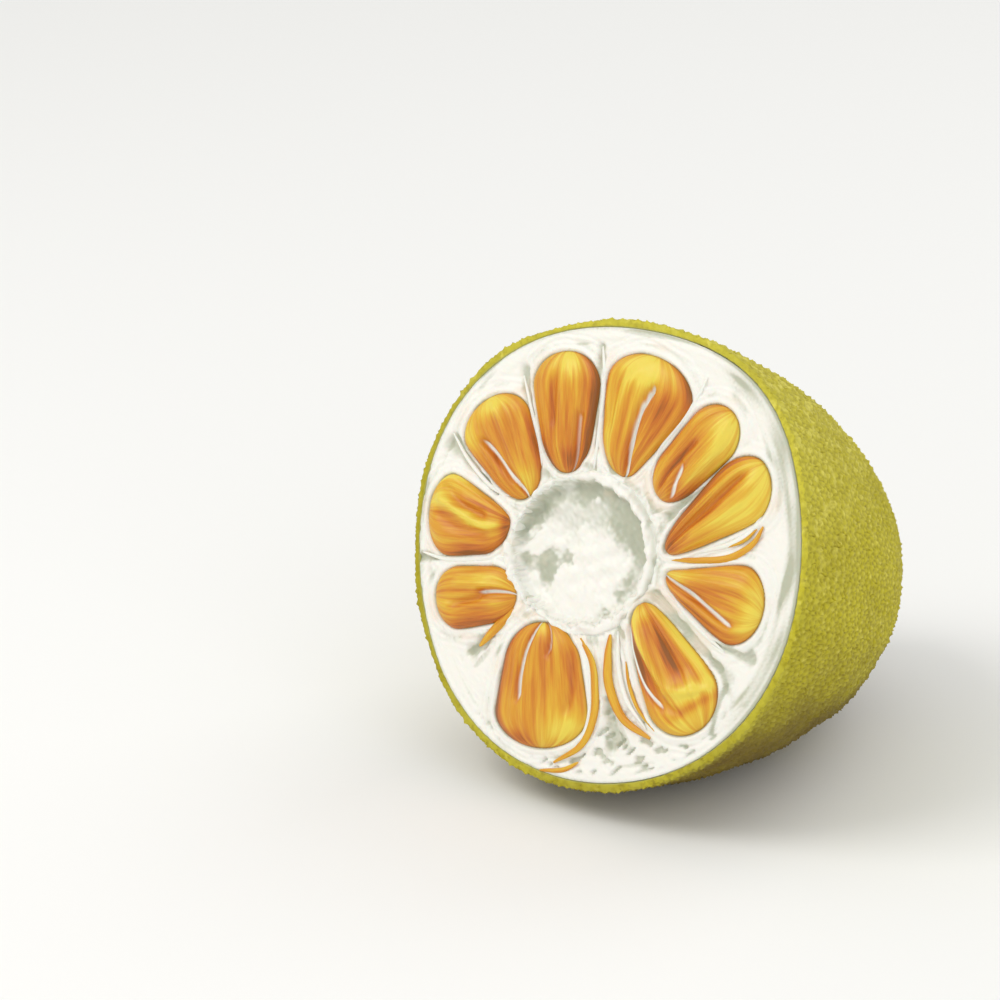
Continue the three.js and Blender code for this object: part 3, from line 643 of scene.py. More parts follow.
def hull_triangles(points):
    """Triangles between neighbouring points, from their convex hull, all facing out."""
    mesh = bpy.data.meshes.new("lattice")
    mesh.vertices.add(len(points))
    mesh.vertices.foreach_set("co", points.astype(np.float32).ravel())
    shell = bmesh.new()
    shell.from_mesh(mesh)
    bmesh.ops.convex_hull(shell, input=shell.verts[:])
    shell.to_mesh(mesh)
    shell.free()
    triangles = np.zeros(len(mesh.polygons) * 3, dtype=np.int32)
    mesh.polygons.foreach_get("vertices", triangles)
    bpy.data.meshes.remove(mesh)
    triangles = triangles.reshape(-1, 3)
    a, b, c = (points[triangles[:, corner]] for corner in range(3))
    inward = (np.cross(b - a, c - a) * a).sum(1) < 0
    triangles[inward] = triangles[inward][:, ::-1]
    return triangles


def split_triangle(steps):
    """A triangle cut into steps squared alike ones: whole-number weights of its points, and its cells."""
    weights = [(i, j, steps - i - j) for i in range(steps + 1) for j in range(steps + 1 - i)]
    number = {(i, j): n for n, (i, j, _) in enumerate(weights)}
    cells = []
    for i in range(steps):
        for j in range(steps - i):
            cells.append((number[i, j], number[i + 1, j], number[i, j + 1]))
            if i + j < steps - 1:
                cells.append((number[i + 1, j], number[i + 1, j + 1], number[i, j + 1]))
    return np.array(weights), np.array(cells)


def knobbed_skin(spacing, height, jitter, roundness, seed):
    """The skin with its knobs, open in front of the cut. Every triangle between three tips is split
    finely. A point belongs to the tip with the largest weight, and it rises by its lead, which is how far
    that weight exceeds the next. So neighbouring knobs meet in valleys where there is no rise."""
    tips = knob_tips(spacing, jitter, seed)
    triangles = hull_triangles(tips)
    triangles = triangles[(tips[triangles, 1] > -2 * spacing).any(1)]
    weights, cells = split_triangle(KNOB_STEPS)
    rng = np.random.default_rng(seed + 1)
    codes = rng.integers(1, 2**60, len(tips)).astype(np.uint64)
    tallness = rng.uniform(0.55, 1.4, len(tips))
    tint = rng.uniform(0, 1, len(tips))
    keys = (weights.astype(np.uint64)[None] * codes[triangles][:, None]).sum(-1).ravel()
    _, first, number = np.unique(keys, return_index=True, return_inverse=True)
    share = weights / KNOB_STEPS
    mixed = np.einsum("pk,tkc->tpc", share, tips[triangles]).reshape(-1, 3)[first]
    ranked = np.sort(share, axis=1)
    lead = np.tile(ranked[:, 2] - ranked[:, 1], len(triangles))[first]
    owner = triangles[:, share.argmax(1)].ravel()[first]
    rise = 1 - (1 - lead) ** roundness
    placed = on_spheroid(mixed)
    bearing = np.arctan2(placed[:, 2], placed[:, 0])
    roughness = 0.12 * ripple(placed, 4.5, seed + 2) + 0.5 * ripple(placed, 55, seed + 3)
    by_cut = 0.75 + 0.25 * smoothstep(placed[:, 1], 0, 10)
    rise_there = height * tallness[owner] * rise * by_cut
    points = skin_points(bearing, placed[:, 1], SKIN_RISE + rise_there + roughness)
    faces = number.reshape(len(triangles), -1)[:, cells].reshape(-1, 3)
    band = hump(np.maximum(placed[:, 1], 0), RIM_SPREAD)
    return points, faces, {"knob": rise, "tint": tint[owner], "rim": band}


def cut_open(points, faces, numbers):
    """Cuts a skin off in front of y = 0. Gives its points, triangles, values and the numbers of the cut
    edge in order round the fruit."""
    mesh = new_mesh("uncut", points, faces, numbers=numbers)
    cutter = bmesh.new()
    cutter.from_mesh(mesh)
    whole = cutter.verts[:] + cutter.edges[:] + cutter.faces[:]
    cut = {"plane_co": (0, 0, 0), "plane_no": (0, 1, 0), "dist": CUT_TOLERANCE, "clear_inner": True}
    bmesh.ops.bisect_plane(cutter, geom=whole, **cut)
    bmesh.ops.triangulate(cutter, faces=[face for face in cutter.faces if len(face.verts) > 3])
    cutter.verts.index_update()
    edge = np.array(sorted({vert.index for side in cutter.edges if side.is_boundary for vert in side.verts}))
    cutter.to_mesh(mesh)
    cutter.free()
    kept = np.zeros(len(mesh.vertices) * 3, dtype=np.float32)
    mesh.vertices.foreach_get("co", kept)
    kept = kept.reshape(-1, 3).astype(float)
    triangles = np.zeros(len(mesh.polygons) * 3, dtype=np.int32)
    mesh.polygons.foreach_get("vertices", triangles)
    values = {}
    for label in numbers:
        values[label] = np.zeros(len(kept), dtype=np.float32)
        mesh.attributes[label].data.foreach_get("value", values[label])
    bpy.data.meshes.remove(mesh)
    if np.abs(kept[edge, 1]).max() > 2 * CUT_TOLERANCE:
        raise RuntimeError("the rind is open somewhere else than at the cut")
    edge = edge[np.argsort(np.arctan2(kept[edge, 2], kept[edge, 0]))]
    return kept, triangles.reshape(-1, 3), values, edge


def rind_mesh(sizes):
    """The rind as a closed cup: the knobbed skin, the cut rim and the smooth inner wall to its pole."""
    spacing, height = sizes.knob_spacing * 1000, sizes.knob_height * 1000
    skin = knobbed_skin(spacing, height, sizes.knob_jitter, sizes.knob_roundness, sizes.seed)
    points, faces, values, edge = cut_open(*skin)
    bearing = np.arctan2(points[edge, 2], points[edge, 0])
    outer = np.linalg.norm(points[edge][:, [0, 2]], axis=1)
    inner = radius_at(bearing) - RIND_THICKNESS
    rings, cut = [], []
    points[edge, 1] += RIM_ROUNDING
    for share, depth in RIM_STEPS:
        radius = outer + (inner - outer) * share
        face = at_depth(circle(bearing) * radius[:, None], depth)
        face[:, 1] += 0.16 * ripple(face, 4, 77)
        rings.append(face)
        cut.append(share)
    for angle in INNER_WALL_ANGLES:
        depth = np.full(len(edge), (HALF_LENGTH - RIND_THICKNESS) * math.sin(angle))
        rings.append(skin_points(bearing, depth, -RIND_THICKNESS))
        cut.append(1.0)
    pole = np.array([[0, HALF_LENGTH - RIND_THICKNESS, 0]])
    number = len(points) + np.arange(len(rings) * len(edge)).reshape(len(rings), -1)
    number = np.vstack([edge, number])
    last = np.full(len(edge), len(points) + len(rings) * len(edge))
    cap = np.stack([last, np.roll(number[-1], -1), number[-1]], 1)
    points = np.vstack([points, *rings, pole])
    added = points[-(len(rings) * len(edge) + 1):]
    in_cut = np.zeros(len(points))
    in_cut[-len(added):] = np.append(np.repeat(cut, len(edge)), 1.0)
    mottled = np.clip(0.5 + 0.35 * ripple(added, 4, 78), 0, 1)
    for label, new in (("knob", mottled), ("tint", mottled[::-1]), ("rim", np.ones(len(added)))):
        values[label] = np.append(values[label], new)
    sides = strips(number[:-1], number[1:])[:, ::-1]
    values["cut"] = in_cut
    mesh = new_mesh("knobbed_rind", to_row(points), faces, sides, cap[:, ::-1], numbers=values)
    mesh.set_sharp_from_angle(angle=RIND_SMOOTH_ANGLE)
    return mesh


def pith_mesh():
    """The pith as one closed surface of rings: out of the core's socket, across the cut with its relief,
    and back along the inside of the rind to the blossom end."""
    turn = np.linspace(0, 2 * math.pi, FACE_AROUND, endpoint=False)
    socket_edge = CORE_CENTRE + circle(turn) * CORE_HALF * SOCKET_REACH
    rim = circle(turn) * (radius_at(turn) - RIND_THICKNESS - PITH_EDGE_GAP)[:, None]
    share = np.linspace(0, 1, FACE_RINGS)[:, None, None]
    face = (socket_edge + (rim - socket_edge) * share).reshape(-1, 2)
    depth, grey, pocket, warm = pith_relief(face)
    face = at_depth(face, depth).reshape(FACE_RINGS, FACE_AROUND, 3)
    socket = []
    for deep in SOCKET_DEPTHS:
        narrow = 1 + (CORE_TAPER - 1) * deep
        wall = CORE_CENTRE + (socket_edge - CORE_CENTRE) * narrow
        socket.append(at_depth(wall, deep * CORE_DEPTH))
    back = []
    for angle in PITH_WALL_ANGLES:
        depth = np.full(FACE_AROUND, (HALF_LENGTH - RIND_THICKNESS) * math.sin(angle))
        back.append(skin_points(turn, depth, -RIND_THICKNESS - PITH_GAP))
    rings = np.concatenate([np.array(socket), face, np.array(back)])
    first = [CORE_CENTRE[0], CORE_DEPTH, CORE_CENTRE[1]]
    points, sides, caps = closed_rings(rings, first, [0, HALF_LENGTH - RIND_THICKNESS - PITH_GAP, 0])
    before = 1 + len(socket) * FACE_AROUND
    after = 1 + len(back) * FACE_AROUND
    values = {}
    for label, shown, hidden in (("grey", grey, 0.5), ("pocket", pocket, 0.0), ("warm", warm, 0.0)):
        values[label] = np.pad(shown, (before, after), constant_values=hidden)
    return new_mesh("cut_pith", to_row(points), sides, caps, numbers=values)


def core_edge(turn):
    """Outline of the core's front as a share of its ellipse: a rim that draws in by every aril's root."""
    edge = CORE_RIM_REACH + 0.012 * np.sin(9 * turn) + 0.01 * np.sin(23 * turn + 1)
    for aril in ARILS.values():
        across, up = (np.array(aril["root"]) - CORE_CENTRE) / CORE_HALF
        away = (turn - math.atan2(up, across) + math.pi) % (2 * math.pi) - math.pi
        edge -= max(0.0, CORE_ROOT_REACH - math.hypot(across, up)) * hump(away, 0.27)
    return edge


def core_face(turn, share):
    """Points of the core's front and how grey they are. The front is a bowl with a steep ragged wall and
    a low rim. Most of its greys are painted shade: soft spots, shaken by ripples and sharpened, that lie
    deeper and grow towards the top, a band outside the rim on the right and a line along the top of the
    bowl's wall. Grey streaks lie slanted outside the bowl."""
    edge = core_edge(turn)
    place = circle(turn) * (share * edge)[:, None]
    flat = CORE_CENTRE + place * CORE_HALF
    around = 40 * circle(turn)
    lower_left = 0.5 - 0.5 * np.sin(turn + 0.8)
    right_side = smoothstep(np.cos(turn - 0.05), 0.2, 0.9)
    ragged = 0.02 * ripple(around, 13, 58) + (0.008 + 0.022 * lower_left) * ripple(around, 5, 59)
    reach = share * edge + ragged + 0.015 * right_side
    shaken = place + 0.03 * np.stack([ripple(flat, 9, 55), ripple(flat, 9, 56)], 1)
    shaken += 0.02 * np.stack([ripple(flat, 3.4, 60), ripple(flat, 3.4, 65)], 1)
    # Painted shade: greyer towards the top and in the grey spots, while the white spots take it away
    total = 0.26 + 0.1 * smoothstep(place[:, 1], -0.1, 0.5)
    for across, up, spread, amount in CORE_SPOTS:
        total += amount * hump(np.linalg.norm(shaken - [across, up], axis=1), spread)
    inside = 1 - smoothstep(reach, 0.93, 0.99)
    grey = (0.85 * smoothstep(total, *CORE_GREYS) + 0.06 * ripple(flat, 4, 57)) * inside
    # Painted shade: a band outside the rim on the right, and a line along the top of the bowl's wall
    grey += 0.5 * right_side * hump(share * edge - 1.1, 0.05) + 0.4 * hump(reach - 0.975, 0.016)
    slanted = flat @ [[0.9, 0.4], [-0.4, 0.9]] * [1, 0.4]
    grey += 0.22 * smoothstep(ripple(slanted, 5, 67), 0.3, 1.2) * (1 - inside)
    dished = CORE_BOWL_DEPTH + np.cos(np.clip(reach, 0, 1) * math.pi / 2)
    bowl = dished * (1 - smoothstep(reach, *CORE_WALL))
    rim = (1.1 + 0.6 * ripple(flat, 12, 51)) * hump(reach - 1.04, 0.06)
    lumps = 0.8 * ripple(flat, 24, 52) + 0.4 * ripple(flat, 11, 53) + 0.16 * ripple(flat, 4.5, 54)
    outside = (0.35 + 0.3 * ripple(flat, 7, 49) + 0.14 * ripple(flat, 3.4, 50)) * (1 - inside)
    depth = bowl - rim + 1.3 * grey * inside - lumps * inside - outside
    depth += CORE_EDGE_TUCK * smoothstep(share, 0.965, 1.0)
    return at_depth(flat, depth), np.clip(grey, 0, 1)


def core_mesh():
    """The core as a closed body: its front by core_face, then a tapering shaft into the fruit."""
    turn = np.linspace(0, 2 * math.pi, CORE_AROUND, endpoint=False)
    share = np.linspace(1 / CORE_RINGS, 1, CORE_RINGS)
    front, grey = core_face(np.tile(turn, CORE_RINGS), np.repeat(share, CORE_AROUND))
    middle, _ = core_face(np.zeros(1), np.zeros(1))
    shaft = []
    for deep in SHAFT_DEPTHS:
        narrow = (1 + (CORE_TAPER - 1) * deep) * math.sqrt(1 - deep**6) * SHAFT_FIT
        shaft.append(at_depth(CORE_CENTRE + circle(turn) * CORE_HALF * narrow, deep * CORE_DEPTH))
    rings = np.concatenate([front.reshape(CORE_RINGS, CORE_AROUND, 3), np.array(shaft)])
    points, sides, caps = closed_rings(rings, middle[0], [CORE_CENTRE[0], CORE_DEPTH, CORE_CENTRE[1]])
    values = np.pad(grey, (1, 1 + len(shaft) * CORE_AROUND), constant_values=0.3)
    values[0] = grey[:CORE_AROUND].mean()
    return new_mesh("fibrous_core", to_row(points), sides, caps, numbers={"grey": values})


def crease_depth(aril, across, share):
    """Depth of an aril's creases, and how white they are: each is a bell-shaped groove that follows a
    curve given as across against share, and fades at its ends, though not at the aril's root."""
    depth = np.zeros(len(share))
    white = np.zeros(len(share))
    for deep, width, whiteness, *curve in aril["creases"]:
        path = smooth_path(curve, 40)
        path = path[np.argsort(path[:, 1])]
        middle = np.interp(share, path[:, 1], path[:, 0])
        spread = CREASE_SPREAD * width / half_width(aril, middle, share)
        start, end = path[0, 1], path[-1, 1]
        fade = 1 - smoothstep(share, end - CREASE_FADE, end + CREASE_FADE)
        if start > CREASE_FADE:
            fade *= smoothstep(share, start - CREASE_FADE, start + CREASE_FADE)
        depth += deep * hump(across - middle, spread) * fade
        white = np.maximum(white, whiteness * hump(across - middle, 0.6 * spread) * fade)
    return depth, white


def aril_points(aril, angle, share):
    """Points of an aril's skin, with what the materials need. The cross-section is a superellipse with
    its own left and right half widths, a low bulge in front and a deep back. Creases and long folds shape
    the front."""
    root, along, right, length = aril_frame(aril)
    cosine, sine = np.cos(angle), np.sin(angle)
    across = np.sign(cosine) * np.abs(cosine) ** ARIL_FULLNESS
    inward = np.sign(sine) * np.abs(sine) ** ARIL_FULLNESS
    opened = rounded_ends(share)
    creases, white = crease_depth(aril, across, share)
    seed = int(abs(root[0]) * 10)
    strung = np.stack([across * 9, share * 2.2], 1)
    folds = 0.45 * ripple(strung, 4.2, seed) + 0.16 * ripple(strung, 1.6, seed + 1)
    front = ARIL_FRONT - creases + folds * smoothstep(opened, 0.3, 0.9)
    height = np.where(inward < 0, np.maximum(front, 1.0), ARIL_BACK)
    spine = root + share[:, None] * length * along
    place = spine + right * (across * half_width(aril, across, share) * opened)[:, None]
    depth = ARIL_SINK + inward * height * opened
    return at_depth(place, depth), across, white, folds - 0.9 * creases


def aril_tones(aril, across, share, relief):
    """How yellow the flesh is, from 0 brown to 1 yellow: a rise towards the crown, a painted light on what
    stands proud and a painted shade in the creases, and the aril's own glows, which are partly its own tones
    and partly painted light and shade."""
    # Painted light on what stands proud, painted shade in the creases
    tone = ARIL_TONE + 0.1 * smoothstep(share, 0.2, 0.95) + 0.1 * np.clip(relief, -1.8, 1.8)
    for where, place, spread_across, spread_along, amount in aril["glows"]:
        tone += amount * hump(across - where, spread_across) * hump(share - place, spread_along)
    return tone


def aril_mesh(name, aril, number):
    """One aril as a closed loft from root to crown, finer in front than at the hidden back."""
    behind = np.linspace(0, math.pi, ARIL_BACK_STEPS, endpoint=False)
    before = np.linspace(math.pi, 2 * math.pi, ARIL_FRONT_STEPS, endpoint=False)
    angle = np.concatenate([behind, before])[::-1]
    share = (1 - np.cos(np.linspace(0, math.pi, ARIL_RINGS + 2)[1:-1])) / 2
    around = len(angle)
    angles, shares = np.tile(angle, ARIL_RINGS), np.repeat(share, around)
    rings, across, white, relief = aril_points(aril, angles, shares)
    root, along, _, length = aril_frame(aril)
    crown = root + along * length
    first, last = [root[0], ARIL_SINK, root[1]], [crown[0], ARIL_SINK, crown[1]]
    points, sides, caps = closed_rings(rings.reshape(ARIL_RINGS, around, 3), first, last)
    tone = aril_tones(aril, across, shares, relief)
    # Where the aril dips below the cut into its pocket, for a painted shade on its foot
    side = 1 - smoothstep(rings[:, 1], -2.2, 0.6)
    ends = (float(tone[:around].mean()), float(tone[-around:].mean()))
    grain = np.stack([across * 2.2, shares * 1.0, np.full(len(shares), number * 5.3)], 1)
    grain = np.vstack([[0, 0, number * 5.3], grain, [0, 1.0, number * 5.3]])
    values = {
        "tone": np.concatenate([[ends[0]], tone, [ends[1]]]),
        "white": np.pad(white, 1),
        "shown": np.pad(side, 1),
    }
    return new_mesh(name, to_row(points), sides, caps, numbers=values, vectors={"grain": grain})


def ribbon(points, width):
    """Rings of an oval strip along points that keep to the cut: as wide as asked across it and lower
    towards the viewer, narrowing to both ends as the root of a sine, with poles to close it."""
    tangent = np.gradient(points, axis=0)
    tangent /= np.linalg.norm(tangent, axis=1, keepdims=True)
    across = np.cross(tangent, [0, 1, 0])
    across /= np.linalg.norm(across, axis=1, keepdims=True)
    outward = np.cross(across, tangent)
    share = np.linspace(0, 1, len(points))
    taper = np.sqrt(np.sin(math.pi * (0.02 + 0.96 * share)))[:, None]
    height = RIBBON_THICKNESS * width
    turns = np.linspace(0, 2 * math.pi, RIBBON_SIDES, endpoint=False)
    rings = [points + (across * width * math.cos(a) + outward * height * math.sin(a)) * taper for a in turns]
    first, last = points[0] - 0.2 * tangent[0], points[-1] + 0.2 * tangent[-1]
    return closed_rings(np.stack(rings, axis=1), first, last)


def laid_ribbons(name, paths, rise, numbers):
    """One mesh of strips that lie on the cut pith: each follows a curve through its points, a little in
    front of the cut."""
    points, sides, caps, grain = [], [], [], []
    count = 0
    along = np.repeat(np.linspace(0, 1, RIBBON_STEPS), RIBBON_SIDES)
    around = np.tile(np.cos(np.linspace(0, 2 * math.pi, RIBBON_SIDES, endpoint=False)), RIBBON_STEPS)
    for width, *route in paths:
        flat = smooth_path(route, RIBBON_STEPS)
        strip, strip_sides, strip_caps = ribbon(at_depth(flat, -rise), width)
        points.append(strip)
        streaks = np.stack([around * 0.25, along, np.full(len(along), count)], 1)
        grain.append(np.pad(streaks, ((1, 1), (0, 0)), mode="edge"))
        sides.append(strip_sides + count)
        caps.append(strip_caps + count)
        count += len(strip)
    points = np.vstack(points)
    values = {label: np.full(len(points), value) for label, value in numbers.items()}
    return new_mesh(name, to_row(points), np.vstack(sides), np.vstack(caps), numbers=values,
                    vectors={"grain": np.vstack(grain)})


def srgb(red, green, blue):
    """A colour given in 0 to 255 screen values, as the linear colour that Blender works in."""
    values = np.array([red, green, blue]) / 255
    return tuple(np.where(values <= 0.04045, values / 12.92, ((values + 0.055) / 1.055) ** 2.4).tolist())


class Tree:
    """Builds one material's nodes in few words."""

    def __init__(self, name):
        self.material = bpy.data.materials.new(name)
        self.material.use_nodes = True
        self.nodes = self.material.node_tree.nodes
        self.shader = self.nodes["Principled BSDF"]

    def add(self, kind, **inputs):
        made = self.nodes.new(kind)
        for socket, value in inputs.items():
            self.set(made, socket.replace("_", " "), value)
        return made

    def set(self, made, socket, value):
        if isinstance(value, bpy.types.NodeSocket):
            self.material.node_tree.links.new(value, made.inputs[socket])
        else:
            made.inputs[socket].default_value = value

    def place(self):
        return self.nodes.new("ShaderNodeTexCoord").outputs["Object"]

    def value(self, label, output="Fac"):
        made = self.nodes.new("ShaderNodeAttribute")
        made.attribute_name = label
        return made.outputs[output]

    def stretched(self, vector, scale):
        return self.add("ShaderNodeMapping", Vector=vector, Scale=scale).outputs["Vector"]

    def noise(self, vector, scale, detail, roughness=0.55):
        made = self.add("ShaderNodeTexNoise", Vector=vector, Scale=scale, Detail=detail, Roughness=roughness)
        return made.outputs["Fac"]

    def between(self, value, low, high):
        made = self.add("ShaderNodeMapRange", Value=value, From_Min=low, From_Max=high)
        made.interpolation_type = "SMOOTHSTEP"
        return made.outputs["Result"]

    def sum(self, kind, first, second):
        made = self.nodes.new("ShaderNodeMath")
        made.operation = kind
        made.use_clamp = kind == "MULTIPLY"
        for socket, value in enumerate((first, second)):
            self.set(made, socket, value)
        return made.outputs["Value"]

    def times(self, first, second):
        return self.sum("MULTIPLY", first, second)

    def mix(self, share, first, second):
        made = self.nodes.new("ShaderNodeMix")
        made.data_type = "RGBA"
        self.set(made, 0, share)
        for socket, colour in ((6, first), (7, second)):
            plain = not isinstance(colour, bpy.types.NodeSocket)
            self.set(made, socket, (*colour[:3], 1.0) if plain else colour)
        return made.outputs[2]

    def ramp(self, value, *stops):
        made = self.nodes.new("ShaderNodeValToRGB")
        self.set(made, "Fac", value)
        elements = made.color_ramp.elements
        while len(elements) < len(stops):
            elements.new(0.5)
        for element, (place, colour) in zip(elements, stops):
            element.position = place
            element.color = (*colour[:3], 1.0)
        return made.outputs["Color"]

    def greys(self, value, low, high):
        return self.ramp(value, *((place, (grey,) * 3) for place, grey in (low, high)))

    def bump(self, height, strength, distance):
        made = self.add("ShaderNodeBump", Height=height, Strength=strength, Distance=distance)
        self.set(self.shader, "Normal", made.outputs["Normal"])

    def finish(self, colour, roughness, **sockets):
        self.set(self.shader, "Base Color", colour)
        self.set(self.shader, "Roughness", roughness)
        for socket, value in sockets.items():
            self.shader.inputs[socket.replace("_", " ")].default_value = value
        return self.material

    def finish_moist(self, colour, roughness, weight):
        return self.finish(colour, roughness, Subsurface_Weight=weight, Subsurface_Scale=FLESH_GLOW)


def rind_material(colours):
    """Green-yellow skin with painted light and shade: olive painted shade in the valleys between the knobs,
    painted highlights on some knob tips, light blotches that grow with a painted light towards the top,
    brown specks that grow below, a browner painted shade on the underside that is darkest at the bottom, and
    a yellower band along the cut that runs on over the cut edge and turns to an olive painted shade at the
    left."""
    tree = Tree("rind skin")
    place, knob, tint = tree.place(), tree.value("knob"), tree.value("tint")
    patches = tree.noise(place, PATCH_NOISE, 3)
    apart = tree.add("ShaderNodeSeparateXYZ", Vector=place)
    shade = tree.sum("ADD", apart.outputs["Z"], tree.times(tree.noise(place, SHADE_NOISE, 3), 0.07))
    # Heights for a painted light towards the top and a painted shade towards the bottom
    above, below = tree.between(shade, *PAINTED_LIGHT_HEIGHTS), tree.between(shade, *BROWN_SHADE_HEIGHTS)
    # Painted shade in the valleys between the knobs, and painted highlights on the tips of knobs with a high
    # tint
    skin = tree.mix(tree.between(knob, 0.0, 0.7), colours.rind_valley, colours.rind_skin)
    light = tree.mix(0.7, skin, colours.rind_tip)
    skin = tree.mix(tree.between(tree.times(knob, tint), 0.4, 0.95), skin, light)
    skin = tree.mix(tree.between(patches, 0.35, 0.72), skin, tree.mix(0.5, skin, colours.rind_valley))
    # Light blotches, which grow with the painted light towards the top
    blotches = tree.between(tree.noise(place, BLOTCH_NOISE, 2, 0.5), 0.52, 0.66)
    lightness = tree.times(blotches, tree.sum("ADD", 0.16, tree.times(above, 0.5)))
    skin = tree.mix(lightness, skin, colours.rind_tip)
    # Painted light over the top of the skin
    skin = tree.mix(tree.times(above, 0.22), skin, colours.rind_tip)
    speckle = tree.noise(place, SPECK_NOISE, 3, 0.7)
    # Brown specks, more of them towards the bottom with the painted shade
    specks = tree.times(tree.between(speckle, 0.5, 0.68), tree.sum("ADD", 0.34, tree.times(below, 0.3)))
    plain = tree.mix(specks, skin, colours.rind_speck)
    # A browner painted shade on the underside, darkest at the bottom
    skin = tree.mix(tree.times(below, tree.between(patches, 0.2, 0.75)), plain, colours.rind_under_shade)
    skin = tree.mix(tree.times(tree.between(shade, *DARK_SHADE_HEIGHTS), 0.8), skin, colours.rind_under_shade)
    mottled = tree.between(tree.noise(place, BAND_NOISE, 3, 0.6), 0.38, 0.6)
    band = tree.mix(mottled, colours.rind_cut, plain)
    # An olive painted shade on the band along the cut towards the left
    shaded_left = tree.between(apart.outputs["X"], *OLIVE_SHADE_PLACES)
    band = tree.mix(tree.times(shaded_left, 0.75), band, colours.rind_valley)
    colour = tree.mix(tree.times(tree.value("rim"), 0.75), skin, band)
    colour = tree.mix(tree.between(tree.value("cut"), 0.8, 1.0), colour, colours.rind_inner)
    tree.bump(tree.noise(place, PORE_NOISE, 4, 0.6), 0.3, 0.0006)
    return tree.finish(colour, tree.greys(speckle, (0.3, 0.55), (0.75, 0.75)), Specular_IOR_Level=0.18)


def pith_material(colours):
    """Moist white pith: grey-green where it is hollow or rough, mostly a painted shade in the hollows, by
    the arils and along the rind; cream by some lips; an olive painted shade in the pockets.
    """
    tree = Tree("pith flesh")
    place = tree.place()
    fibres = tree.noise(place, FIBRE_NOISE, 5, 0.65)
    grey = tree.sum("ADD", tree.value("grey"), tree.times(tree.between(fibres, 0.55, 0.8), 0.25))
    # Grey-green painted shade, with the grey of fibres and rough pith
    colour = tree.mix(tree.between(grey, 0.08, 1.0), colours.pith, colours.pith_grey)
    colour = tree.mix(tree.times(tree.value("warm"), 0.5), colour, colours.pith_warm)
    # Olive painted shade deep in the pockets
    colour = tree.mix(tree.between(tree.value("pocket"), 0.1, 1.0), colour, colours.pocket)
    tree.bump(fibres, 0.3, 0.0009)
    return tree.finish_moist(colour, tree.greys(fibres, (0.3, 0.42), (0.7, 0.6)), 0.12)


def core_material(colours):
    """Fibrous core: white lumps with a grey-green painted shade in the hollows, glassy where it is moist."""
    tree = Tree("core fibre")
    place = tree.place()
    clouds = tree.noise(place, CLOUD_NOISE, 5, 0.6)
    grey = tree.sum("ADD", tree.value("grey"), tree.times(tree.between(clouds, 0.5, 0.75), 0.14))
    colour = tree.mix(tree.between(grey, 0.05, 0.95), colours.pith, colours.core_grey)
    warmer = tree.mix(0.35, colour, colours.pith_warm)
    colour = tree.mix(tree.between(tree.noise(place, TINT_NOISE, 2), 0.6, 0.75), colour, warmer)
    tree.bump(clouds, 0.3, 0.0009)
    return tree.finish_moist(colour, tree.greys(clouds, (0.35, 0.34), (0.7, 0.55)), 0.12)


def aril_material(colours):
    """Waxy orange flesh: brown, orange and yellow by the aril's tones, which hold its own colours and
    painted light and shade, streaked along its length, with white in the creases and a dark painted shade on
    its foot in the pocket."""
    tree = Tree("aril flesh")
    grain = tree.value("grain", "Vector")
    streaks = tree.noise(tree.stretched(grain, (1.5, 0.8, 1.0)), 2.2, 3, 0.5)
    fine = tree.noise(tree.stretched(grain, (5.5, 1.4, 1.0)), 2.6, 4, 0.6)
    shift = tree.sum("ADD", tree.times(streaks, 0.95), tree.times(fine, 0.45))
    tone = tree.sum("SUBTRACT", tree.sum("ADD", tree.value("tone"), shift), 0.7)
    colour = tree.ramp(
        tone, (0.0, colours.aril_brown), (0.22, colours.aril_deep), (0.46, colours.aril_orange),
        (0.7, colours.aril_amber), (0.95, colours.aril_yellow))
    # A dark painted shade on the aril's foot where it dips into its pocket
    foot = tree.mix(0.7, colour, colours.aril_foot_shade)
    colour = tree.mix(tree.between(tree.value("shown"), 0.7, 0.0), colour, foot)
    colour = tree.mix(tree.between(tree.value("white"), 0.25, 0.8), colour, colours.strand)
    tree.bump(fine, 0.25, 0.0007)
    return tree.finish_moist(colour, tree.greys(fine, (0.3, 0.36), (0.75, 0.52)), 0.1)


class JackfruitSizes(bpy.types.PropertyGroup):
    """Sizes that a user would change"""

    knob_spacing: FloatProperty(
        name="Knob spacing", description="Between neighbouring knobs", default=0.0044, unit="LENGTH")
    knob_height: FloatProperty(
        name="Knob height", description="Height of a middling knob", default=0.0013, unit="LENGTH")
    knob_jitter: FloatProperty(
        name="Knob jitter", description="How far knobs stray, in spacings", default=0.28, subtype="FACTOR")
    knob_roundness: FloatProperty(
        name="Knob roundness", description="1 for pointed knobs, higher for blunter ones", default=1.6)
    seed: IntProperty(name="Seed", description="Number that the random draws start from", default=7)


def colour_property(name, description, *screen):
    """A colour property with its default given in 0 to 255 screen values."""
    return FloatVectorProperty(name=name, description=description, default=srgb(*screen), subtype="COLOR")


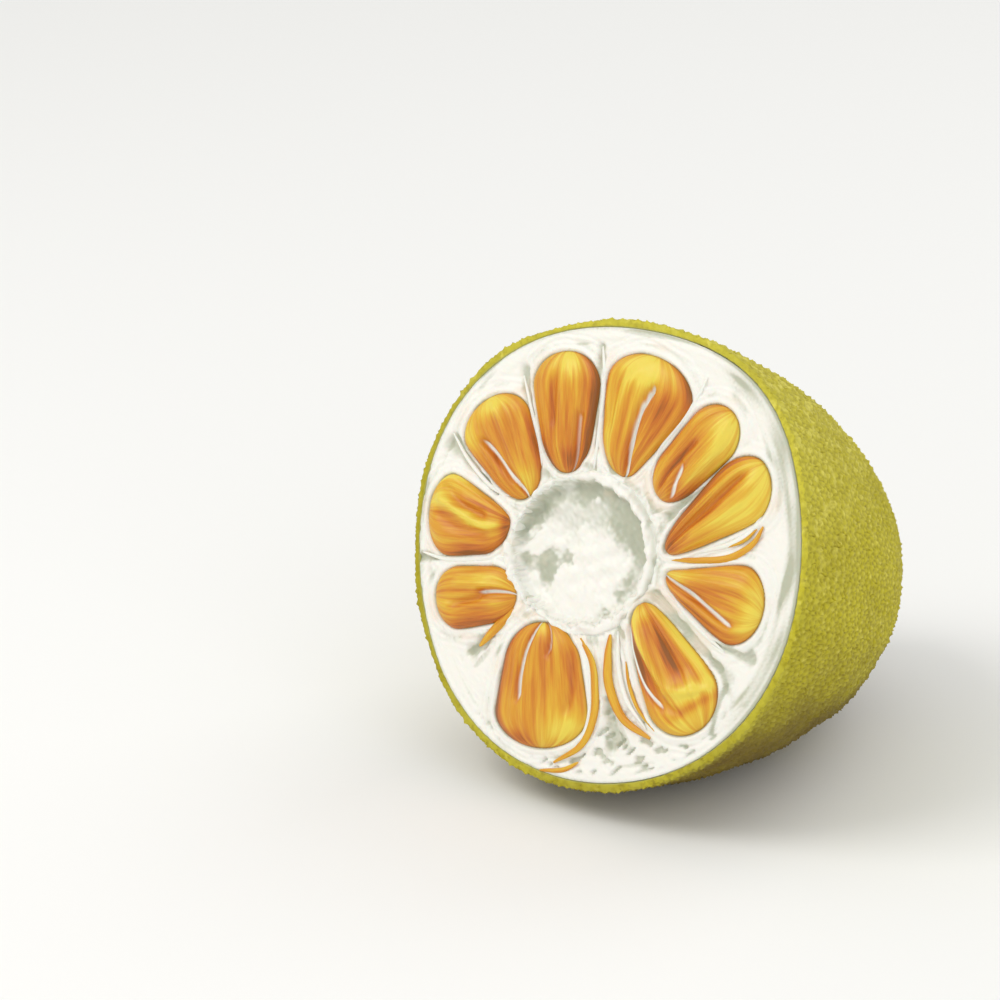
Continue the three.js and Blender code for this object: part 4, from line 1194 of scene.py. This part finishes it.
class JackfruitColours(bpy.types.PropertyGroup):
    """Colours that a user would change"""

    rind_skin: colour_property("Rind skin", "Sides of the knobs", 202, 191, 46)
    # Painted shade between the knobs, also used for darker patches and for the band's olive painted shade on
    # the left
    rind_valley: colour_property("Rind valley", "Between the knobs", 164, 152, 34)
    # Painted highlights on knob tips and painted light over the top, also used for light blotches
    rind_tip: colour_property("Rind tip", "Tips of the lighter knobs", 234, 224, 106)
    rind_speck: colour_property("Rind speck", "Fine specks", 126, 108, 36)
    # The underside's brown is a painted shade
    rind_under_shade: colour_property("Rind underside", "Brown of the ripe underside", 104, 84, 32)
    rind_cut: colour_property("Cut rind", "Along the cut and over its edge", 196, 187, 60)
    rind_inner: colour_property("Inner rind", "Band by the pith", 186, 184, 104)
    pith: colour_property("Pith", "White flesh", 245, 243, 235)
    # Grey-green painted shade in the hollows, by the arils and along the rind, and the grey of rough pith
    pith_grey: colour_property("Grey pith", "Hollow and rough pith", 188, 190, 168)
    pith_warm: colour_property("Warm pith", "Tint by some lips", 246, 226, 206)
    # Painted shade deep in the pockets
    pocket: colour_property("Pocket", "Deep in the aril pockets", 168, 150, 100)
    # Painted shade of the core's hollows
    core_grey: colour_property("Grey core", "Hollows of the core", 184, 187, 166)
    strand: colour_property("Strand", "White strands", 238, 240, 232)
    aril_brown: colour_property("Aril brown", "Darkest flesh", 144, 84, 22)
    aril_deep: colour_property("Aril deep orange", "Dark flesh", 198, 108, 26)
    aril_orange: colour_property("Aril orange", "Middling flesh", 216, 144, 34)
    aril_amber: colour_property("Aril amber", "Light flesh", 226, 178, 48)
    aril_yellow: colour_property("Aril yellow", "Lightest flesh", 235, 211, 78)
    # Painted shade where an aril dips into its pocket
    aril_foot_shade: colour_property("Aril foot", "Where an aril dips into its pocket", 150, 104, 40)
    floor: colour_property("Floor", "Pale floor", 247, 247, 246)


class JackfruitStage(bpy.types.PropertyGroup):
    """The camera and the lights"""

    azimuth: FloatProperty(
        name="Azimuth", description="Where the camera is", default=math.radians(36.9), subtype="ANGLE")
    elevation: FloatProperty(
        name="Elevation", description="The camera's height", default=math.radians(22), subtype="ANGLE")
    distance: FloatProperty(
        name="Distance", description="From the camera to the fruit", default=2.4, unit="LENGTH")
    view_width: FloatProperty(
        name="View width", description="Width taken in at the fruit", default=0.467, unit="LENGTH")
    face_right: FloatProperty(
        name="Cut to the right", description="From the picture's middle", default=0.0478, unit="LENGTH")
    face_down: FloatProperty(
        name="Cut below", description="From the picture's middle", default=0.0253, unit="LENGTH")


class JACKFRUIT_OT_rind(bpy.types.Operator):
    """Build the knobbed rind"""

    bl_idname = "jackfruit.rind"
    bl_label = "Rind"

    def execute(self, context):
        material = rind_material(context.scene.jackfruit_colours)
        mesh = rind_mesh(context.scene.jackfruit_sizes)
        new_piece("knobbed_rind", mesh, material, "rind_skin", "rind")
        return {"FINISHED"}


class JACKFRUIT_OT_pith(bpy.types.Operator):
    """Build the cut pith"""

    bl_idname = "jackfruit.pith"
    bl_label = "Pith"

    def execute(self, context):
        material = pith_material(context.scene.jackfruit_colours)
        new_piece("cut_pith", pith_mesh(), material, "pith_flesh", "pith")
        return {"FINISHED"}


class JACKFRUIT_OT_core(bpy.types.Operator):
    """Build the fibrous core"""

    bl_idname = "jackfruit.core"
    bl_label = "Core"

    def execute(self, context):
        material = core_material(context.scene.jackfruit_colours)
        new_piece("fibrous_core", core_mesh(), material, "core_fibre", "core")
        return {"FINISHED"}


class JACKFRUIT_OT_arils(bpy.types.Operator):
    """Build the arils and the thin slivers of flesh between them"""

    bl_idname = "jackfruit.arils"
    bl_label = "Arils"

    def execute(self, context):
        material = aril_material(context.scene.jackfruit_colours)
        for number, (node, aril) in enumerate(ARILS.items()):
            name = node.replace("aril", "aril_bulb")
            new_piece(name, aril_mesh(name, aril, number), material, "aril_flesh", node)
        slivers = laid_ribbons("aril_slivers", SLIVERS, 0.35, {"tone": 0.6, "shown": 1.0, "white": 0.0})
        new_piece("aril_slivers", slivers, material, "aril_flesh")
        return {"FINISHED"}


class JACKFRUIT_OT_strands(bpy.types.Operator):
    """Build the white strands that lie in the pith"""

    bl_idname = "jackfruit.strands"
    bl_label = "Strands"

    def execute(self, context):
        strands = laid_ribbons("pith_strands", STRANDS, 0.15, {"grey": 0.0, "pocket": 0.0, "warm": 0.0})
        new_piece("pith_strands", strands, bpy.data.materials["pith flesh"], "pith_flesh")
        return {"FINISHED"}


def add_light(context, name, place, power, size, colour):
    """A square area light that looks at the fruit."""
    light = bpy.data.lights.new(name, "AREA")
    light.energy = power
    light.size = size
    light.color = colour
    lamp = bpy.data.objects.new(name, light)
    lamp.location = place
    lamp.rotation_euler = (LIT_POINT - lamp.location).to_track_quat("-Z", "Y").to_euler()
    context.scene.collection.objects.link(lamp)


def add_camera(context, stage):
    """A camera that looks at the cut from the stage's angle and distance, moved in its own plane so that
    the cut's middle comes where the photo has it."""
    turn, rise = stage.azimuth, stage.elevation
    back = Vector((math.sin(turn) * math.cos(rise), -math.cos(turn) * math.cos(rise), math.sin(rise)))
    right = Vector((math.cos(turn), math.sin(turn), 0))
    up = back.cross(right)
    lens = bpy.data.cameras.new("camera")
    lens.lens = lens.sensor_width * stage.distance / stage.view_width
    camera = bpy.data.objects.new("camera", lens)
    aimed = Vector(FACE_CENTRE / 1000) + back * stage.distance
    camera.location = aimed - right * stage.face_right + up * stage.face_down
    camera.rotation_euler = back.to_track_quat("Z", "Y").to_euler()
    context.scene.collection.objects.link(camera)
    context.scene.camera = camera


class JACKFRUIT_OT_stage(bpy.types.Operator):
    """Build the floor, the lights and the camera"""

    bl_idname = "jackfruit.stage"
    bl_label = "Stage"

    def execute(self, context):
        scene = context.scene
        corners = [(FLOOR_HALF * x, FLOOR_HALF * y, 0) for x, y in ((-1, -1), (1, -1), (1, 1), (-1, 1))]
        floor = bpy.data.meshes.new("floor")
        floor.from_pydata(corners, [], [(0, 1, 2, 3)])
        colour = (*scene.jackfruit_colours.floor, 1.0)
        floor.materials.append(Tree("pale floor").finish(colour, 0.9, Specular_IOR_Level=0.1))
        ground = bpy.data.objects.new("floor", floor)
        scene.collection.objects.link(ground)
        for light in LIGHTS:
            add_light(context, *light)
        world = bpy.data.worlds.new("soft light")
        world.use_nodes = True
        sky = world.node_tree.nodes["Background"].inputs
        sky["Color"].default_value = SKY_COLOUR
        sky["Strength"].default_value = SKY_STRENGTH
        scene.world = world
        scene.view_settings.view_transform = "Standard"
        add_camera(context, scene.jackfruit_stage)
        return {"FINISHED"}


PIECE_OPERATORS = (
    JACKFRUIT_OT_rind, JACKFRUIT_OT_pith, JACKFRUIT_OT_core, JACKFRUIT_OT_arils, JACKFRUIT_OT_strands,
    JACKFRUIT_OT_stage,
)
SETTINGS = {
    "jackfruit_sizes": JackfruitSizes,
    "jackfruit_colours": JackfruitColours,
    "jackfruit_stage": JackfruitStage,
}


class JACKFRUIT_PT_build(bpy.types.Panel):
    """Lists what can be built and the settings"""

    bl_idname = "JACKFRUIT_PT_build"
    bl_label = "Jackfruit"
    bl_space_type = "VIEW_3D"
    bl_region_type = "UI"
    bl_category = "Jackfruit"

    def draw(self, context):
        for operator in PIECE_OPERATORS:
            self.layout.operator(operator.bl_idname)
        for name in SETTINGS:
            settings = getattr(context.scene, name)
            box = self.layout.box()
            for setting in settings.__annotations__:
                box.prop(settings, setting)


CLASSES = (*SETTINGS.values(), *PIECE_OPERATORS, JACKFRUIT_PT_build)


def register():
    for kind in CLASSES:
        bpy.utils.register_class(kind)
    for name, group in SETTINGS.items():
        setattr(bpy.types.Scene, name, PointerProperty(type=group))


def unregister():
    for name in SETTINGS:
        delattr(bpy.types.Scene, name)
    for kind in reversed(CLASSES):
        bpy.utils.unregister_class(kind)


def main():
    """Builds every piece and the stage."""
    register()
    bpy.ops.jackfruit.rind()
    bpy.ops.jackfruit.pith()
    bpy.ops.jackfruit.core()
    bpy.ops.jackfruit.arils()
    bpy.ops.jackfruit.strands()
    bpy.ops.jackfruit.stage()


if __name__ == "__main__":
    main()
